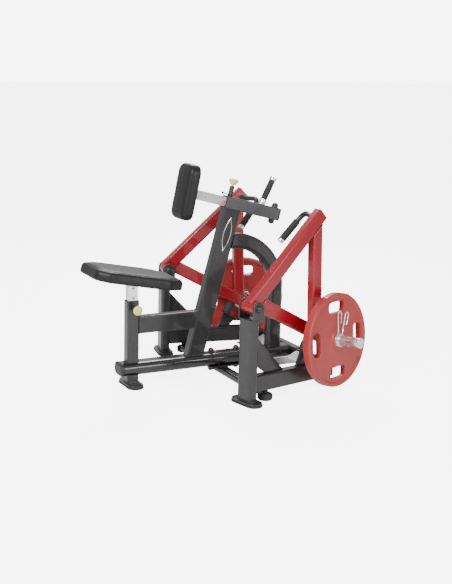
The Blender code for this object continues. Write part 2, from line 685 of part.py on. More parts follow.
# ---------------------------------------------------------------- adjusters
def pull_pin(name, mouth, outward, neck, root):
    """A spring pull pin on a tube's face at mouth: its housing, and its plunger with the knob."""
    housing = [(0.0125, GAP), (0.0125, neck - 0.003), (0.0105, neck), (0.0072, neck), (0.0072, GAP)]
    place_mesh(name + "_housing", loft([turned(mouth, outward, housing, "ring")]), BLACK_STEEL, root)
    knob = [(0.0058, 0.0065), (0.0150, 0.0065), (0.0165, 0.014)]
    knob += [(0.0220, 0.020), (0.0235, 0.026), (0.0215, 0.031), (0.0150, 0.034)]
    plunger = [(0.0045, -0.0036), (0.0058, -0.0024)] + [(r, neck + h) for r, h in knob]
    place_mesh(name, loft([turned(mouth, outward, plunger)]), KNOB_YELLOW, body(name, mouth))


def seat_assembly(seat):
    """Chrome stem with its row of holes and welded plate, then board and cushion."""
    tilt_along = Vector((math.cos(SEAT_TILT), 0, -math.sin(SEAT_TILT)))
    tilt_off = Vector((math.sin(SEAT_TILT), 0, math.cos(SEAT_TILT)))
    cushion_top = from_post(0, 0, SEAT_TOP_Z)

    def layer(depth):
        return cushion_top - tilt_off * depth

    board_depth = SEAT_PAD + GAP
    bracket_depth = board_depth + BOARD_THICK + GAP
    stem = bar(
        from_post(0, 0, STEM_BOTTOM),
        from_post(0, 0, 0.48),
        Y_AXIS,
        rounded(STEM_WIDTH, STEM_DEPTH, 0.004),
        (None, (layer(bracket_depth + 0.003), tilt_off)),
    )
    chrome = place_mesh("seat_stem", loft([stem]), CHROME, seat)
    flat = rounded(0.250, 0.110, 0.012, 3)
    weld_on(chrome, slab(flat, layer(bracket_depth), tilt_along, Y_AXIS, -0.006, 0.0))
    holes = []
    for k in range(-2, 4):
        z = SEAT_PIN_Z - k * SEAT_HOLE_PITCH
        start = from_post(0, -STEM_WIDTH / 2 - 0.004, z)
        holes.append(turned(start, Y_AXIS, [(0.0068, 0), (0.0068, 0.018)], sides=10))
    cut_away(chrome, *holes)

    def outline(inset):
        half_length, half_width = SEAT_LENGTH / 2 - inset, SEAT_WIDTH / 2 - inset
        corners = [
            (-half_length, half_width - 0.045),
            (-half_length + 0.055, half_width),
            (half_length - 0.085, half_width),
            (half_length, half_width - 0.050),
        ]
        corners += [(a, -b) for a, b in corners[::-1]]
        return round_corners(corners, 0.030)

    middle = tilt_along * 0.008

    def rings(rows):
        loops = []
        for depth, inset in rows:
            base = layer(depth) + middle
            loops.append([base + tilt_along * a + Y_AXIS * b for a, b in outline(inset)])
        return loops

    board = rings(((board_depth, 0.014), (board_depth + BOARD_THICK, 0.014)))
    place_mesh("seat_board", loft([(board, "caps")]), PLYWOOD, seat)
    crown = ((0.0, 0.026), (0.003, 0.012), (0.011, 0.003), (0.024, 0.0), (0.038, 0.002))
    pad = rings((*crown, (SEAT_PAD, 0.008)))
    place_mesh("seat_cushion", loft([(pad, "caps")]), VINYL, seat)


def round_corners(corners, radius, steps=4):
    """A closed outline with each corner swapped for an arc."""
    rounded_outline = []
    count = len(corners)
    for i, corner in enumerate(corners):
        before, after = Vector(corners[i - 1]), Vector(corners[(i + 1) % count])
        here = Vector(corner)
        arc = fillet_path([(*before, 0), (*here, 0), (*after, 0)], radius, steps)[1:-1]
        rounded_outline += [(p.x, p.y) for p in arc]
    return rounded_outline


def chest_assembly(chest):
    """Chrome tube in the sleeve with its welded plate, then board and pad."""
    lean_off = Vector((-math.cos(CHEST_PAD_LEAN), 0, math.sin(CHEST_PAD_LEAN)))
    lean_up = Vector((math.sin(CHEST_PAD_LEAN), 0, math.cos(CHEST_PAD_LEAN)))
    end = Sleeve.at(-CHEST_TUBE_OUT)
    tube = bar(
        Sleeve.at(0.05),
        Sleeve.at(CHEST_TUBE_IN),
        Y_AXIS,
        rounded(CHEST_TUBE, CHEST_TUBE, 0.004),
        ((end, lean_off), None),
    )
    chrome = place_mesh("chest_tube", loft([tube]), CHROME, chest)
    holes = []
    for k in range(-3, 3):
        start = Sleeve.at(CHEST_PIN_ALONG + k * CHEST_HOLE_PITCH, CHEST_TUBE / 2 + 0.004)
        holes.append(turned(start, -Sleeve.off, [(0.0068, 0), (0.0068, 0.018)], sides=10))
    side_hole = Sleeve.at(-CHEST_TUBE_OUT + 0.061, 0.002, -CHEST_TUBE / 2 - 0.004)
    holes.append(turned(side_hole, Y_AXIS, [(0.0068, 0), (0.0068, 0.018)], sides=10))

    lift = 0.004

    def sheet(width, height, radius, low, high):
        face = slab(rounded(width, height, radius, 3), end + lean_up * lift, Y_AXIS, lean_up, 0, 1)
        flat = face[0][0]
        return [[p + lean_off * t for p in flat] for t in (low, high)]

    weld_on(chrome, (sheet(0.100, 0.150, 0.012, -0.002, 0.006), "caps"))
    cut_away(chrome, *holes)
    board = sheet(CHEST_PAD_WIDTH - 0.026, CHEST_PAD_HEIGHT - 0.026, 0.020, 0.006 + GAP, 0.006 + BOARD_THICK)
    place_mesh("chest_board", loft([(board, "caps")]), PLYWOOD, chest)
    back = 0.006 + BOARD_THICK + GAP
    rows = ((0.0, 0.008), (0.006, 0.002), (0.016, 0.0), (0.030, 0.001), (0.041, 0.007), (0.046, 0.016))
    loops = []
    for depth, inset in (*rows, (CHEST_PAD_THICK, 0.028)):
        ring = rounded(CHEST_PAD_WIDTH - 2 * inset, CHEST_PAD_HEIGHT - 2 * inset, 0.030 - 0.6 * inset, 5)
        base = end + lean_up * lift + lean_off * (back + depth)
        loops.append([base + Y_AXIS * a + lean_up * b for a, b in ring])
    place_mesh("chest_pad", loft([(loops, "caps")]), VINYL, chest)


def clamp_lever(parent):
    """The small lever that pinches the chest tube in its sleeve."""
    foot = Sleeve.at(CLAMP_ALONG, SLEEVE_OUTER / 2, CLAMP_Y)
    screw = [(0.0035, -0.0040), (0.0035, 0.0013), (0.0058, 0.0013), (0.0058, 0.012), (0.0042, 0.014)]
    stud = turned(foot, Sleeve.off, screw, sides=16)
    lever_object = place_mesh("clamp_lever", loft([stud]), BLACK_STEEL, parent)
    knuckle = foot + Sleeve.off * 0.0066
    tip = knuckle - Sleeve.along * 0.050 + Sleeve.off * 0.004
    rod = [(0.0030, 0), (0.0030, 0.038), (0.0046, 0.042), (0.0046, 0.049), (0.0030, 0.0505)]
    weld_on(lever_object, turned(knuckle, tip - knuckle, rod, sides=12))


# ---------------------------------------------------------------- levers
def lever(side, parent):
    """One lever: bush, arm with its barrel, lower link, upright, handle, grip and plate horn."""
    word = side.word
    bush = [(BARREL_BORE - GAP, -0.044), (BARREL_BORE - GAP, 0.044)]
    bush += [(BOLT_RADIUS + 0.0002, 0.044), (BOLT_RADIUS + 0.0002, -0.044)]
    bush_shell = turned(side.pivot, side.outward, bush, "ring", 24)
    place_mesh("lever_bush_" + word, loft([bush_shell]), BLACK_PLASTIC, parent)

    def tube(angle, offset, depth, start, end, cuts=(None, None)):
        along = side.direction(angle)
        off = side.up * math.cos(angle) - side.rearward * math.sin(angle)
        line = side.pivot + off * offset
        section = rounded(LEVER_WIDTH, depth, 0.009)
        return bar(line + along * start, line + along * end, side.outward, section, cuts), off

    arm, arm_off = tube(ARM_ANGLE, ARM_OFFSET, ARM_DEPTH, 0.0, ARM_LENGTH)
    arm_under = (side.pivot + arm_off * (ARM_OFFSET - ARM_DEPTH / 2 - GAP), arm_off)
    arm_object = place_mesh("lever_arm_" + word, loft([arm]), LEVER_PAINT, parent)
    barrel = [(BARREL_RADIUS, -0.0437), (BARREL_RADIUS, 0.0437)]
    bore = [(BARREL_BORE, -0.06), (BARREL_BORE, 0.06)]
    weld_on(arm_object, turned(side.pivot, side.outward, barrel, "caps", 32))
    cut_away(arm_object, turned(side.pivot, side.outward, bore, "caps", 24))

    link, link_off = tube(LINK_ANGLE, LINK_OFFSET, LINK_DEPTH, 0.05, LINK_LENGTH, (arm_under, None))
    scoop = [(BARREL_RADIUS + GAP, -0.06), (BARREL_RADIUS + GAP, 0.06)]
    link_object = place_mesh("lever_link_" + word, loft([link]), LEVER_PAINT, parent)
    cut_away(link_object, turned(side.pivot, side.outward, scoop, "caps", 32))

    link_top = (side.pivot + link_off * (LINK_OFFSET + LINK_DEPTH / 2 + GAP), link_off)
    upright = bar(
        side.at(UPRIGHT_U, 0, 0),
        side.at(UPRIGHT_U - 0.2 * math.tan(UPRIGHT_LEAN), 0.2, 0),
        side.outward,
        rounded(LEVER_WIDTH, UPRIGHT_DEPTH, 0.009),
        (link_top, arm_under),
    )
    place_mesh("lever_upright_" + word, loft([upright]), LEVER_PAINT, parent)

    bend, tip = side.at(*GRIP_BEND), side.at(*GRIP_TIP)
    skin = LEVER_WIDTH / 2 + GAP
    root_end = side.at(GRIP_BEND[0] - 0.055, GRIP_BEND[1] - 0.012, -skin)
    path = fillet_path([root_end, bend, tip], 0.036, 6)
    loops, _ = swept(path, circle(HANDLE_RADIUS, 16), side.up)
    flat = side.outward
    reach = (path[1] - path[0]).normalized()
    loops[0] = [p + reach * ((root_end - p).dot(flat) / reach.dot(flat)) for p in loops[0]]
    place_mesh("handle_tube_" + word, loft([(loops, "caps")]), BLACK_STEEL, parent)

    run = (tip - path[-2]).length
    back = (path[-2] - tip).normalized()
    hose_length = run - 0.018
    inner = HANDLE_RADIUS + GAP
    hose = [(GRIP_RADIUS, 0.016), (GRIP_RADIUS, hose_length), (inner, hose_length), (inner, 0.016)]
    place_mesh("hand_grip_" + word, loft([turned(tip, back, hose, "ring")]), RUBBER, parent)

    foot, out = side.horn()
    horn_profile = [
        (HORN_RADIUS, HORN_TIP - 0.003),
        (HORN_RADIUS - 0.003, HORN_TIP),
        (0.006, HORN_TIP),
        (0.004, HORN_TIP - 0.003),
    ]
    flange = [(HORN_RADIUS, -0.10), (HORN_RADIUS, HORN_FLANGE - 0.010), (0.050, HORN_FLANGE - 0.010)]
    flange += [(0.050, HORN_FLANGE), (HORN_RADIUS, HORN_FLANGE)]
    loops, kind = turned(foot, out, flange + horn_profile, "caps", 24)
    skin_point = side.at(0, 0, skin)
    loops[0] = [p + out * ((skin_point - p).dot(side.outward) / out.dot(side.outward)) for p in loops[0]]
    place_mesh("plate_horn_" + word, loft([(loops, kind)]), CHROME, parent)


def weight_plate(side, parent):
    """A 0.45 m disc with a raised rim and hub and four hand slots."""
    foot, out = side.horn()
    face, back = PLATE_FACE, PLATE_BACK
    bore, rim = HORN_RADIUS + 0.0004, PLATE_RADIUS
    front = [(bore, face), (0.046, face), (0.050, face - 0.007), (0.203, face - 0.009)]
    front += [(0.208, face - 0.001), (rim - 0.006, face - 0.001), (rim, face - 0.006)]
    rear = [(rim, back + 0.006), (rim - 0.006, back + 0.001), (0.208, back + 0.001), (0.203, back + 0.009)]
    rear += [(0.058, back + 0.007), (0.054, back), (bore, back)]
    disc_shell = turned(foot, out, front + rear, "ring", 28)
    disc = place_mesh("weight_plate_" + side.word, loft([disc_shell]), PLATE_PAINT, parent)
    across, upward = axes_along(out, side.up)
    slots = []
    for quarter in range(4):
        turn = math.pi / 2 * quarter
        radial = across * math.cos(turn) + upward * math.sin(turn)
        tangent = out.cross(radial)
        outline = [(a, b + SLOT_RADIUS) for a, b in rounded(*SLOT_SIZE, 0.020, 2)]
        slots.append(slab(outline, foot, tangent, radial, -0.06, 0.06))
    cut_away(disc, *slots)


def spring_clip(side, parent):
    """A wire collar: two turns that grip the horn and two loops that are squeezed to open it."""
    foot, out = side.horn()
    across, upward = axes_along(out, side.up)
    if upward.dot(side.rearward) < 0:
        upward = -upward
    wire, pitch, coil = 0.0028, 0.0064, HORN_RADIUS + 0.0038
    first = PLATE_FACE + wire + 2 * GAP

    def ring_point(turn, along):
        spoke = across * math.cos(turn) + upward * math.sin(turn)
        return foot + spoke * coil + out * along

    def loop_points(root_turn, along, lean):
        """A tall loop: up from the coil, round a half circle and back down to a free end."""
        base = ring_point(root_turn, along)
        up = (across + upward * lean).normalized()
        over = axes_along(up, upward)[0]
        points = [base + up * 0.004]
        points.append(base + up * 0.095)
        for i in range(1, 6):
            t = math.pi * i / 6
            points.append(base + up * (0.095 + 0.013 * math.sin(t)) + over * 0.013 * (1 - math.cos(t)))
        points.append(base + up * 0.095 + over * 0.026)
        points.append(base + up * 0.050 + over * 0.022)
        return points

    start_turn, turns = math.radians(-12), 2.0 + math.radians(24) / (2 * math.pi)
    steps = 30
    helix = []
    for i in range(steps + 1):
        part = i / steps
        helix.append(ring_point(start_turn + 2 * math.pi * turns * part, first + pitch * turns * part))
    near = loop_points(start_turn, first, 0.02)
    far = loop_points(start_turn + 2 * math.pi * turns, first + pitch * turns, 0.30)
    path = near[::-1] + helix[1:-1] + far
    shell = swept(path, circle(wire, 5), out)
    place_mesh("spring_clip_" + side.word, loft([shell]), CHROME, parent)


# ---------------------------------------------------------------- the whole machine
def build():
    clear_scene()
    root = body("root")
    centre_frame(root)
    sleeve_stop_bolt(root)
    cross_tubes(root)
    tube_end_caps(root)
    chest_sleeve(root)
    for side in SIDES:
        side_frame(side, root)
    for side in SIDES:
        pivot_bolt(side, root)
        stop_bumper(side, root)
        foot_tread(side, root)
    feet(root)

    seat_assembly(body("seat", from_post(0, 0, SEAT_POST_TOP)))
    chest_assembly(body("chest", Sleeve.at(0)))
    seat_mouth = from_post(0, -POST_WIDTH / 2, SEAT_PIN_Z)
    chest_mouth = Sleeve.at(CHEST_PIN_ALONG, SLEEVE_OUTER / 2)
    pull_pin("seat_pin", seat_mouth, (0, -1, 0), SEAT_PIN_NECK, root)
    pull_pin("chest_pin", chest_mouth, Sleeve.off, CHEST_PIN_NECK, root)
    clamp_lever(body("clamp_lever", Sleeve.at(CLAMP_ALONG, SLEEVE_OUTER / 2, CLAMP_Y)))

    for side in SIDES:
        lever(side, body("lever_" + side.word, side.pivot))
        foot, _ = side.horn()
        weight_plate(side, body("plate_" + side.word, foot))
        spring_clip(side, body("clip_" + side.word, foot))
    bpy.context.view_layer.update()


build()
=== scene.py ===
"""Looks of the plate-loaded seated row machine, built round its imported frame.

Metres, +Z up. The sitter faces +X and the right-hand side is -Y. Every new piece is a surface worked
out with numpy: a profile turned or carried along a line, or a grid over two parameters. Its object
sits at the origin and its place is in its mesh.
"""

import math

import bmesh
import bpy
import numpy as np
from mathutils import Matrix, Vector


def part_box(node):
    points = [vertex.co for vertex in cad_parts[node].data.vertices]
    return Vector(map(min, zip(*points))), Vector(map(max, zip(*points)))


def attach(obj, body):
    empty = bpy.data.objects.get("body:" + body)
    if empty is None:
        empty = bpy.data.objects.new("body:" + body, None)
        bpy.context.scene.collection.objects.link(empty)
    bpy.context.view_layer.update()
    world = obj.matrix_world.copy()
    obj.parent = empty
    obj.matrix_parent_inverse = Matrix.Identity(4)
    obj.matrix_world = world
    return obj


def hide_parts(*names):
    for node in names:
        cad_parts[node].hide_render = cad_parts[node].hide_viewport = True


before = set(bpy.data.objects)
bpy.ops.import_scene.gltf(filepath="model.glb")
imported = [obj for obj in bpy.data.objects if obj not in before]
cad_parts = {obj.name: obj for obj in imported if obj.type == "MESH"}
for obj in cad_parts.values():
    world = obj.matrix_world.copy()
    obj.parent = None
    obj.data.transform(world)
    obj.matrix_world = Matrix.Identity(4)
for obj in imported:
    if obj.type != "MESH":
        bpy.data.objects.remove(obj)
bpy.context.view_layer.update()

# ---------------------------------------------------------------- dimensions shared with the frame
UP, Y_AXIS, X_AXIS = np.array([0.0, 0, 1]), np.array([0.0, 1, 0]), np.array([1.0, 0, 0])
post_low, post_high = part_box("seat_post")
POST_X = (post_low.x + post_high.x) / 2
SEAT_POST_TOP = post_high.z
BASE_TOP, BASE_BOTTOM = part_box("base_tube")[1].z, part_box("base_tube")[0].z
BASE_MID = (BASE_TOP + BASE_BOTTOM) / 2
BASE_WIDTH, BASE_FRONT = 0.100, -0.066
CROSS_X, CROSS_WIDTH, RAIL_END_X = 0.880, 0.050, 0.900
BASE_BOLT_X = (0.428, 0.568)
PLATE_TOP, RUBBER_TOP = 0.020, 0.012
POST_DEPTH, POST_WIDTH = 0.060, 0.050
STEM_DEPTH, STEM_WIDTH, STEM_BOTTOM = 0.048, 0.040, 0.190
SEAT_PIN_Z, SEAT_HOLE_PITCH = 0.388, 0.048
SEAT_TILT, SEAT_TOP_Z = math.radians(11.0), 0.570
SEAT_LENGTH, SEAT_WIDTH, SEAT_PAD, BOARD = 0.466, 0.306, 0.046, 0.012
RAIL_LOW, RAIL_HIGH = 0.259, 0.343
LEAN, MAST_X, MAST_FOOT = math.radians(14.65), 0.332, 0.120
MAST_DEPTH, MAST_WIDTH = 0.088, 0.050
SLEEVE_FRONT, SLEEVE_LENGTH = (0.482, 0.8725), 0.302
SLEEVE_OUTER, SLEEVE_INNER = 0.060, 0.0515
CHEST_TUBE, CHEST_OUT, CHEST_IN = 0.046, 0.179, 0.138
PAD_LEAN, PAD_HEIGHT, PAD_WIDTH, PAD_THICK = math.radians(11.0), 0.270, 0.154, 0.048
ARCH_CENTRE, ARCH_RADIUS, ARCH_DEPTH, ARCH_WIDTH = (0.535, 0.434), 0.2425, 0.077, 0.060
PIVOT, TOE_IN = (0.3928, 0.464, 0.458), math.radians(11.48)
SIDE_POST_U, SIDE_POST_DEPTH, SIDE_POST_WIDTH, SIDE_POST_TOP = -0.011, 0.048, 0.098, 0.4047
SIDE_RAIL_WIDTH, CHEEK_INNER, CHEEK_THICK = 0.050, 0.0445, 0.008
BARREL_RADIUS, BARREL_BORE, BOLT_RADIUS = 0.030, 0.0163, 0.010
ARM_ANGLE, ARM_OFFSET, ARM_DEPTH, ARM_LENGTH = math.radians(43.5), 0.007, 0.065, 0.572
LINK_ANGLE, LINK_OFFSET, LINK_DEPTH, LINK_LENGTH = math.radians(-28.0), 0.029, 0.064, 0.545
UPRIGHT_U, UPRIGHT_LEAN, UPRIGHT_DEPTH, LEVER_WIDTH = 0.391, math.radians(2.2), 0.057, 0.048
STOP_ALONG, BUMPER_HEIGHT = 0.410, 0.065
TREAD_X, TREAD_Y, TREAD_Z = (0.690, 0.801), (0.120, 0.225), 0.089
SIDE_RAIL_LOW, SIDE_RAIL_TOP = 0.051, 0.131
GRIP_BEND, GRIP_TIP = (0.448, 0.381, -0.151), (0.338, 0.239, -0.199)
HANDLE_RADIUS, GRIP_RADIUS = 0.013, 0.0175
HORN, HORN_YAW, HORN_RISE = (0.444, -0.197, 0.100), math.radians(20.35), math.radians(4.65)
HORN_RADIUS, HORN_TIP, HORN_FLANGE = 0.025, 0.150, -0.0265
PLATE_RADIUS, PLATE_BACK, PLATE_FACE = 0.225, -0.024, 0.020
GRIP_ALONG, GRIP_TOP, GRIP_LEAN = 0.205, 0.146, math.radians(12.0)
CHEST_PIN_ALONG, CLAMP_ALONG, CLAMP_Y, STOP_INSET = 0.0225, 0.012, -0.019, 0.018
BADGE_Z, PIN_HOLE_RADIUS, PIN_HOLE_DEPTH = 0.713, 0.0068, 0.018
GAP = 0.0003
LEVER_SKIN = LEVER_WIDTH / 2 + GAP


def from_post(x, y, z):
    """A point given from the seat post's axis."""
    return np.array([POST_X + x, y, z])


def unit(v):
    v = np.asarray(v, float)
    return v / np.linalg.norm(v)


SLEEVE_ALONG = np.array([math.cos(LEAN), 0, -math.sin(LEAN)])
SLEEVE_OFF = np.array([math.sin(LEAN), 0, math.cos(LEAN)])


def sleeve_at(along, off=0.0, y=0.0):
    """A point on the chest slide: along runs down to the rear, off squarely up."""
    return from_post(SLEEVE_FRONT[0], y, SLEEVE_FRONT[1]) + SLEEVE_ALONG * along + SLEEVE_OFF * off


def mast_at(z, y=0.0):
    return from_post(MAST_X + (z - MAST_FOOT) * math.tan(LEAN), y, z)


class Side:
    """One toed-in side: u runs rearward, v up and w outward from the lever's pivot."""

    def __init__(self, hand):
        self.hand, self.word = hand, "left" if hand > 0 else "right"
        self.pivot = from_post(PIVOT[0], hand * PIVOT[1], PIVOT[2])
        self.rear = np.array([math.cos(TOE_IN), -hand * math.sin(TOE_IN), 0])
        self.out = np.array([math.sin(TOE_IN), hand * math.cos(TOE_IN), 0])

    def at(self, u, v, w=0.0):
        return self.pivot + self.rear * u + UP * v + self.out * w

    def floor(self, u, z, w=0.0):
        return self.at(u, z - PIVOT[2], w)

    def along(self, angle):
        return self.rear * math.cos(angle) + UP * math.sin(angle)

    def horn(self):
        """The plate horn's reference point and its outward direction."""
        flat = np.array([math.sin(HORN_YAW), self.hand * math.cos(HORN_YAW), 0])
        return self.at(*HORN), flat * math.cos(HORN_RISE) + UP * math.sin(HORN_RISE)


SIDES = (Side(-1), Side(1))


# ---------------------------------------------------------------- outlines, as functions of their inset
def rounded(width, height, radius, steps=7):
    """Rectangle with arc corners; a point 1 mm past each arc keeps the flats flat when shaded."""
    turn = np.radians(90 * np.arange(4)[:, None] + np.linspace(0, 90, steps + 1)[None, :])
    signs = np.array([[1, 1], [-1, 1], [-1, -1], [1, -1]], float)
    lead = 0.001

    def outline(inset=0.0):
        arc = max(radius - inset, 0.0004)
        centre = signs * [width / 2 - inset - arc, height / 2 - inset - arc]
        ring = centre[:, None] + arc * np.stack([np.cos(turn), np.sin(turn)], 2)
        start = np.stack([np.sin(turn[:, 0]), -np.cos(turn[:, 0])], 1) * lead
        end = np.stack([-np.sin(turn[:, -1]), np.cos(turn[:, -1])], 1) * lead
        ring = np.concatenate([ring[:, :1] + start[:, None], ring, ring[:, -1:] + end[:, None]], 1)
        return ring.reshape(-1, 2)

    return outline


def disc(radius, sides=48):
    turn = np.linspace(0, 2 * math.pi, sides, endpoint=False)
    return lambda inset=0.0: (radius - inset) * np.stack([np.cos(turn), np.sin(turn)], 1)


def stadium(length, width, steps=16):
    """Two half circles joined by straights, long along the first axis."""
    turn = np.linspace(-math.pi / 2, math.pi / 2, steps + 1)

    def outline(inset=0.0):
        radius, middle = width / 2 - inset, (length - width) / 2
        cap = np.stack([middle + radius * np.cos(turn), radius * np.sin(turn)], 1)
        return np.concatenate([cap, -cap])

    return outline


def polygon(corners, radius, steps=5):
    """A convex outline with arc corners, moved in by its inset."""
    corners = np.asarray(corners, float)

    def outline(inset=0.0):
        ahead = np.roll(corners, -1, 0) - corners
        ahead /= np.linalg.norm(ahead, axis=1)[:, None]
        before = np.roll(ahead, 1, 0)
        turn = np.arctan2(np.cross(before, ahead), (before * ahead).sum(1))
        normal = np.stack([-before[:, 1], before[:, 0]], 1)
        nexts = np.stack([-ahead[:, 1], ahead[:, 0]], 1)
        bisector = (normal + nexts) / (1 + (normal * nexts).sum(1))[:, None]
        arc = max(radius - inset, 0.0005)
        centres = corners + bisector * (inset + arc)
        sweep = np.linspace(0, 1, steps + 1)[None, :] * turn[:, None]
        cos, sin = np.cos(sweep)[..., None], np.sin(sweep)[..., None]
        spoke = -normal[:, None]
        turned_spoke = spoke * cos + np.stack([-spoke[..., 1], spoke[..., 0]], 2) * sin
        return (centres[:, None] + arc * turned_spoke).reshape(-1, 2)

    return outline


# ---------------------------------------------------------------- surfaces
def across(direction, hint):
    """Two unit vectors square to a direction, the first as near hint as it can be."""
    direction = unit(direction)
    first = unit(hint - direction * (hint @ direction))
    return first, np.cross(direction, first)


def skin(rows, ring=False):
    """A grid of rows of points: quads from row to row round each loop, with flat caps unless ring."""
    rows = np.asarray(rows, float)
    count, size, _ = rows.shape
    index = np.arange(count * size).reshape(count, size)
    low, high = (index, np.roll(index, -1, 0)) if ring else (index[:-1], index[1:])
    quads = np.stack([low, np.roll(low, -1, 1), np.roll(high, -1, 1), high], 2).reshape(-1, 4)
    faces = quads.tolist()
    if not ring:
        faces += [index[0][::-1].tolist(), index[-1].tolist()]
    return rows.reshape(-1, 3), faces


def slide_to(points, along, cut):
    """Moves points along a direction until they lie on a cut's plane (point, normal)."""
    if cut is None:
        return points
    point, normal = cut
    return points + along * (((point - points) @ normal) / (along @ normal))[:, None]


def lip_rows(lip, steps=4):
    """(inset, depth) pairs of a quarter circle from an end face out to the side."""
    if not lip:
        return [(0.0, 0.0)]
    turn = np.linspace(0, math.pi / 2, steps + 1)
    return list(zip(lip * (1 - np.sin(turn)), lip * (1 - np.cos(turn))))


def bar(start, end, hint, outline, cuts=(None, None), lips=(0, 0)):
    """An outline carried straight from start to end, with cut or rounded ends."""
    along = unit(end - start)
    plane = np.stack(across(along, hint))
    rows = []
    for base, cut, lip, way in ((start, cuts[0], lips[0], 1), (end, cuts[1], lips[1], -1)):
        part = [
            slide_to(base + outline(inset) @ plane + along * depth * way, along, cut)
            for inset, depth in lip_rows(lip)
        ]
        rows += part if way > 0 else part[::-1]
    return skin(rows)


def hollow(start, end, hint, outer, inner, lip=0.0008):
    """A pipe: outer wall, rounded lip and inner wall, as one closed ring of rows."""
    along = unit(end - start)
    plane = np.stack(across(along, hint))
    insets = [(lip, 0.0), (0.0, lip)]
    rows = [start + outer(i) @ plane + along * d for i, d in insets]
    rows += [end + outer(i) @ plane - along * d for i, d in insets[::-1]]
    rows += [end + inner(-i) @ plane - along * d for i, d in insets]
    rows += [start + inner(-i) @ plane + along * d for i, d in insets[::-1]]
    return skin(rows, ring=True)


def soft(profile, radius, steps=3, closed=False):
    """Swaps each inner corner of a (radius, distance) line for a short arc-like curve."""
    points = np.asarray(profile, float)
    made = [] if closed else [points[:1]]
    share = np.linspace(0, 1, steps + 1)[:, None]
    corners = range(len(points)) if closed else range(1, len(points) - 1)
    for i in corners:
        here, before, after = points[i], points[i - 1], points[(i + 1) % len(points)]
        reach = min(radius, 0.45 * np.linalg.norm(here - before), 0.45 * np.linalg.norm(after - here))
        a, b = here + unit(before - here) * reach, here + unit(after - here) * reach
        made.append((1 - share) ** 2 * a + 2 * share * (1 - share) * here + share**2 * b)
    if not closed:
        made.append(points[-1:])
    return np.concatenate(made)


def turned(origin, direction, profile, sides=48, ring=False, hint=UP, flutes=None):
    """A line of (radius, distance) turned round an axis; flutes is (count, depth, low, high)."""
    direction = unit(direction)
    if abs(direction @ hint) > 0.9:
        hint = X_AXIS
    first, second = across(direction, hint)
    profile = np.asarray(profile, float)
    turn = np.linspace(0, 2 * math.pi, sides, endpoint=False)
    spoke = np.cos(turn)[:, None] * first + np.sin(turn)[:, None] * second
    radius = np.repeat(profile[:, :1], sides, 1)
    if flutes:
        count, depth, low, high = flutes
        held = ((profile[:, 1] > low) & (profile[:, 1] < high))[:, None]
        radius = radius + held * depth * np.cos(count * turn)[None, :]
    rows = origin + radius[..., None] * spoke[None] + profile[:, 1][:, None, None] * direction
    return skin(rows, ring)


def slab(outline, origin, first, second, low, high, edge=0.0012):
    """A plate: an outline in a plane, thick from low to high, with rounded edges."""
    plane = np.stack([first, second])
    normal = np.cross(first, second)
    up = [(inset, low + depth) for inset, depth in lip_rows(edge, 3)]
    down = [(inset, high - depth) for inset, depth in lip_rows(edge, 3)]
    return skin([origin + outline(i) @ plane + normal * h for i, h in up + down[::-1]])


def swept(path, outline, hint, lip=0.0):
    """An outline carried along a line of points without twist."""
    path = np.asarray(path, float)
    ahead = np.gradient(path, axis=0)
    rows, first = [], np.asarray(hint, float)
    for point, way in zip(path, ahead):
        first, second = across(way, first)
        rows.append(point + outline(0) @ np.stack([first, second]))
    if lip:
        first, second = across(ahead[-1], first)
        tail = [(i, lip - d) for i, d in lip_rows(lip)][::-1]
        rows += [path[-1] + outline(i) @ np.stack([first, second]) + unit(ahead[-1]) * d for i, d in tail]
    return skin(rows)


def bent_line(points, radius, steps=10):
    """Straight runs through points, each inner corner an arc of the given radius."""
    points = [np.asarray(p, float) for p in points]
    line = [points[0][None]]
    for before, corner, after in zip(points, points[1:], points[2:]):
        arrive, leave = unit(corner - before), unit(after - corner)
        half = math.acos(np.clip(arrive @ leave, -1, 1)) / 2
        centre = corner + unit(leave - arrive) * radius / math.cos(half)
        first = unit(corner - arrive * radius * math.tan(half) - centre)
        turn = np.linspace(0, 2 * half, steps + 1)[:, None]
        line.append(centre + radius * (np.cos(turn) * first + np.sin(turn) * arrive))
    line.append(points[-1][None])
    return np.concatenate(line)


def bead(loop, radius=0.0026, pitch=0.0045):
    """A weld bead: a ring round a closed loop whose thickness ripples with the distance run."""
    loop = np.asarray(loop, float)
    closed = np.vstack([loop, loop[:1]])
    run = np.concatenate([[0], np.cumsum(np.linalg.norm(np.diff(closed, axis=0), axis=1))])
    count = int(run[-1] / 0.0016)
    at = np.linspace(0, run[-1], count, endpoint=False)
    line = np.stack([np.interp(at, run, closed[:, k]) for k in range(3)], 1)
    ahead = np.roll(line, -1, 0) - np.roll(line, 1, 0)
    ahead /= np.linalg.norm(ahead, axis=1)[:, None]
    inward = line.mean(0) - line
    first = inward - ahead * (inward * ahead).sum(1)[:, None]
    first /= np.linalg.norm(first, axis=1)[:, None]
    second = np.cross(ahead, first)
    turn = np.linspace(0, 2 * math.pi, 8, endpoint=False)
    thick = radius * (1 + 0.15 * np.sin(2 * math.pi * at / pitch))[:, None, None]
    ring = np.cos(turn)[None, :, None] * first[:, None] + np.sin(turn)[None, :, None] * second[:, None]
    return skin(line[:, None] + thick * ring, ring=True)


def bar_end(start, end, hint, outline, cut):
    """The loop where a bar meets a plane, for its weld bead."""
    along = unit(end - start)
    return slide_to(end + outline(0) @ np.stack(across(along, hint)), along, cut)


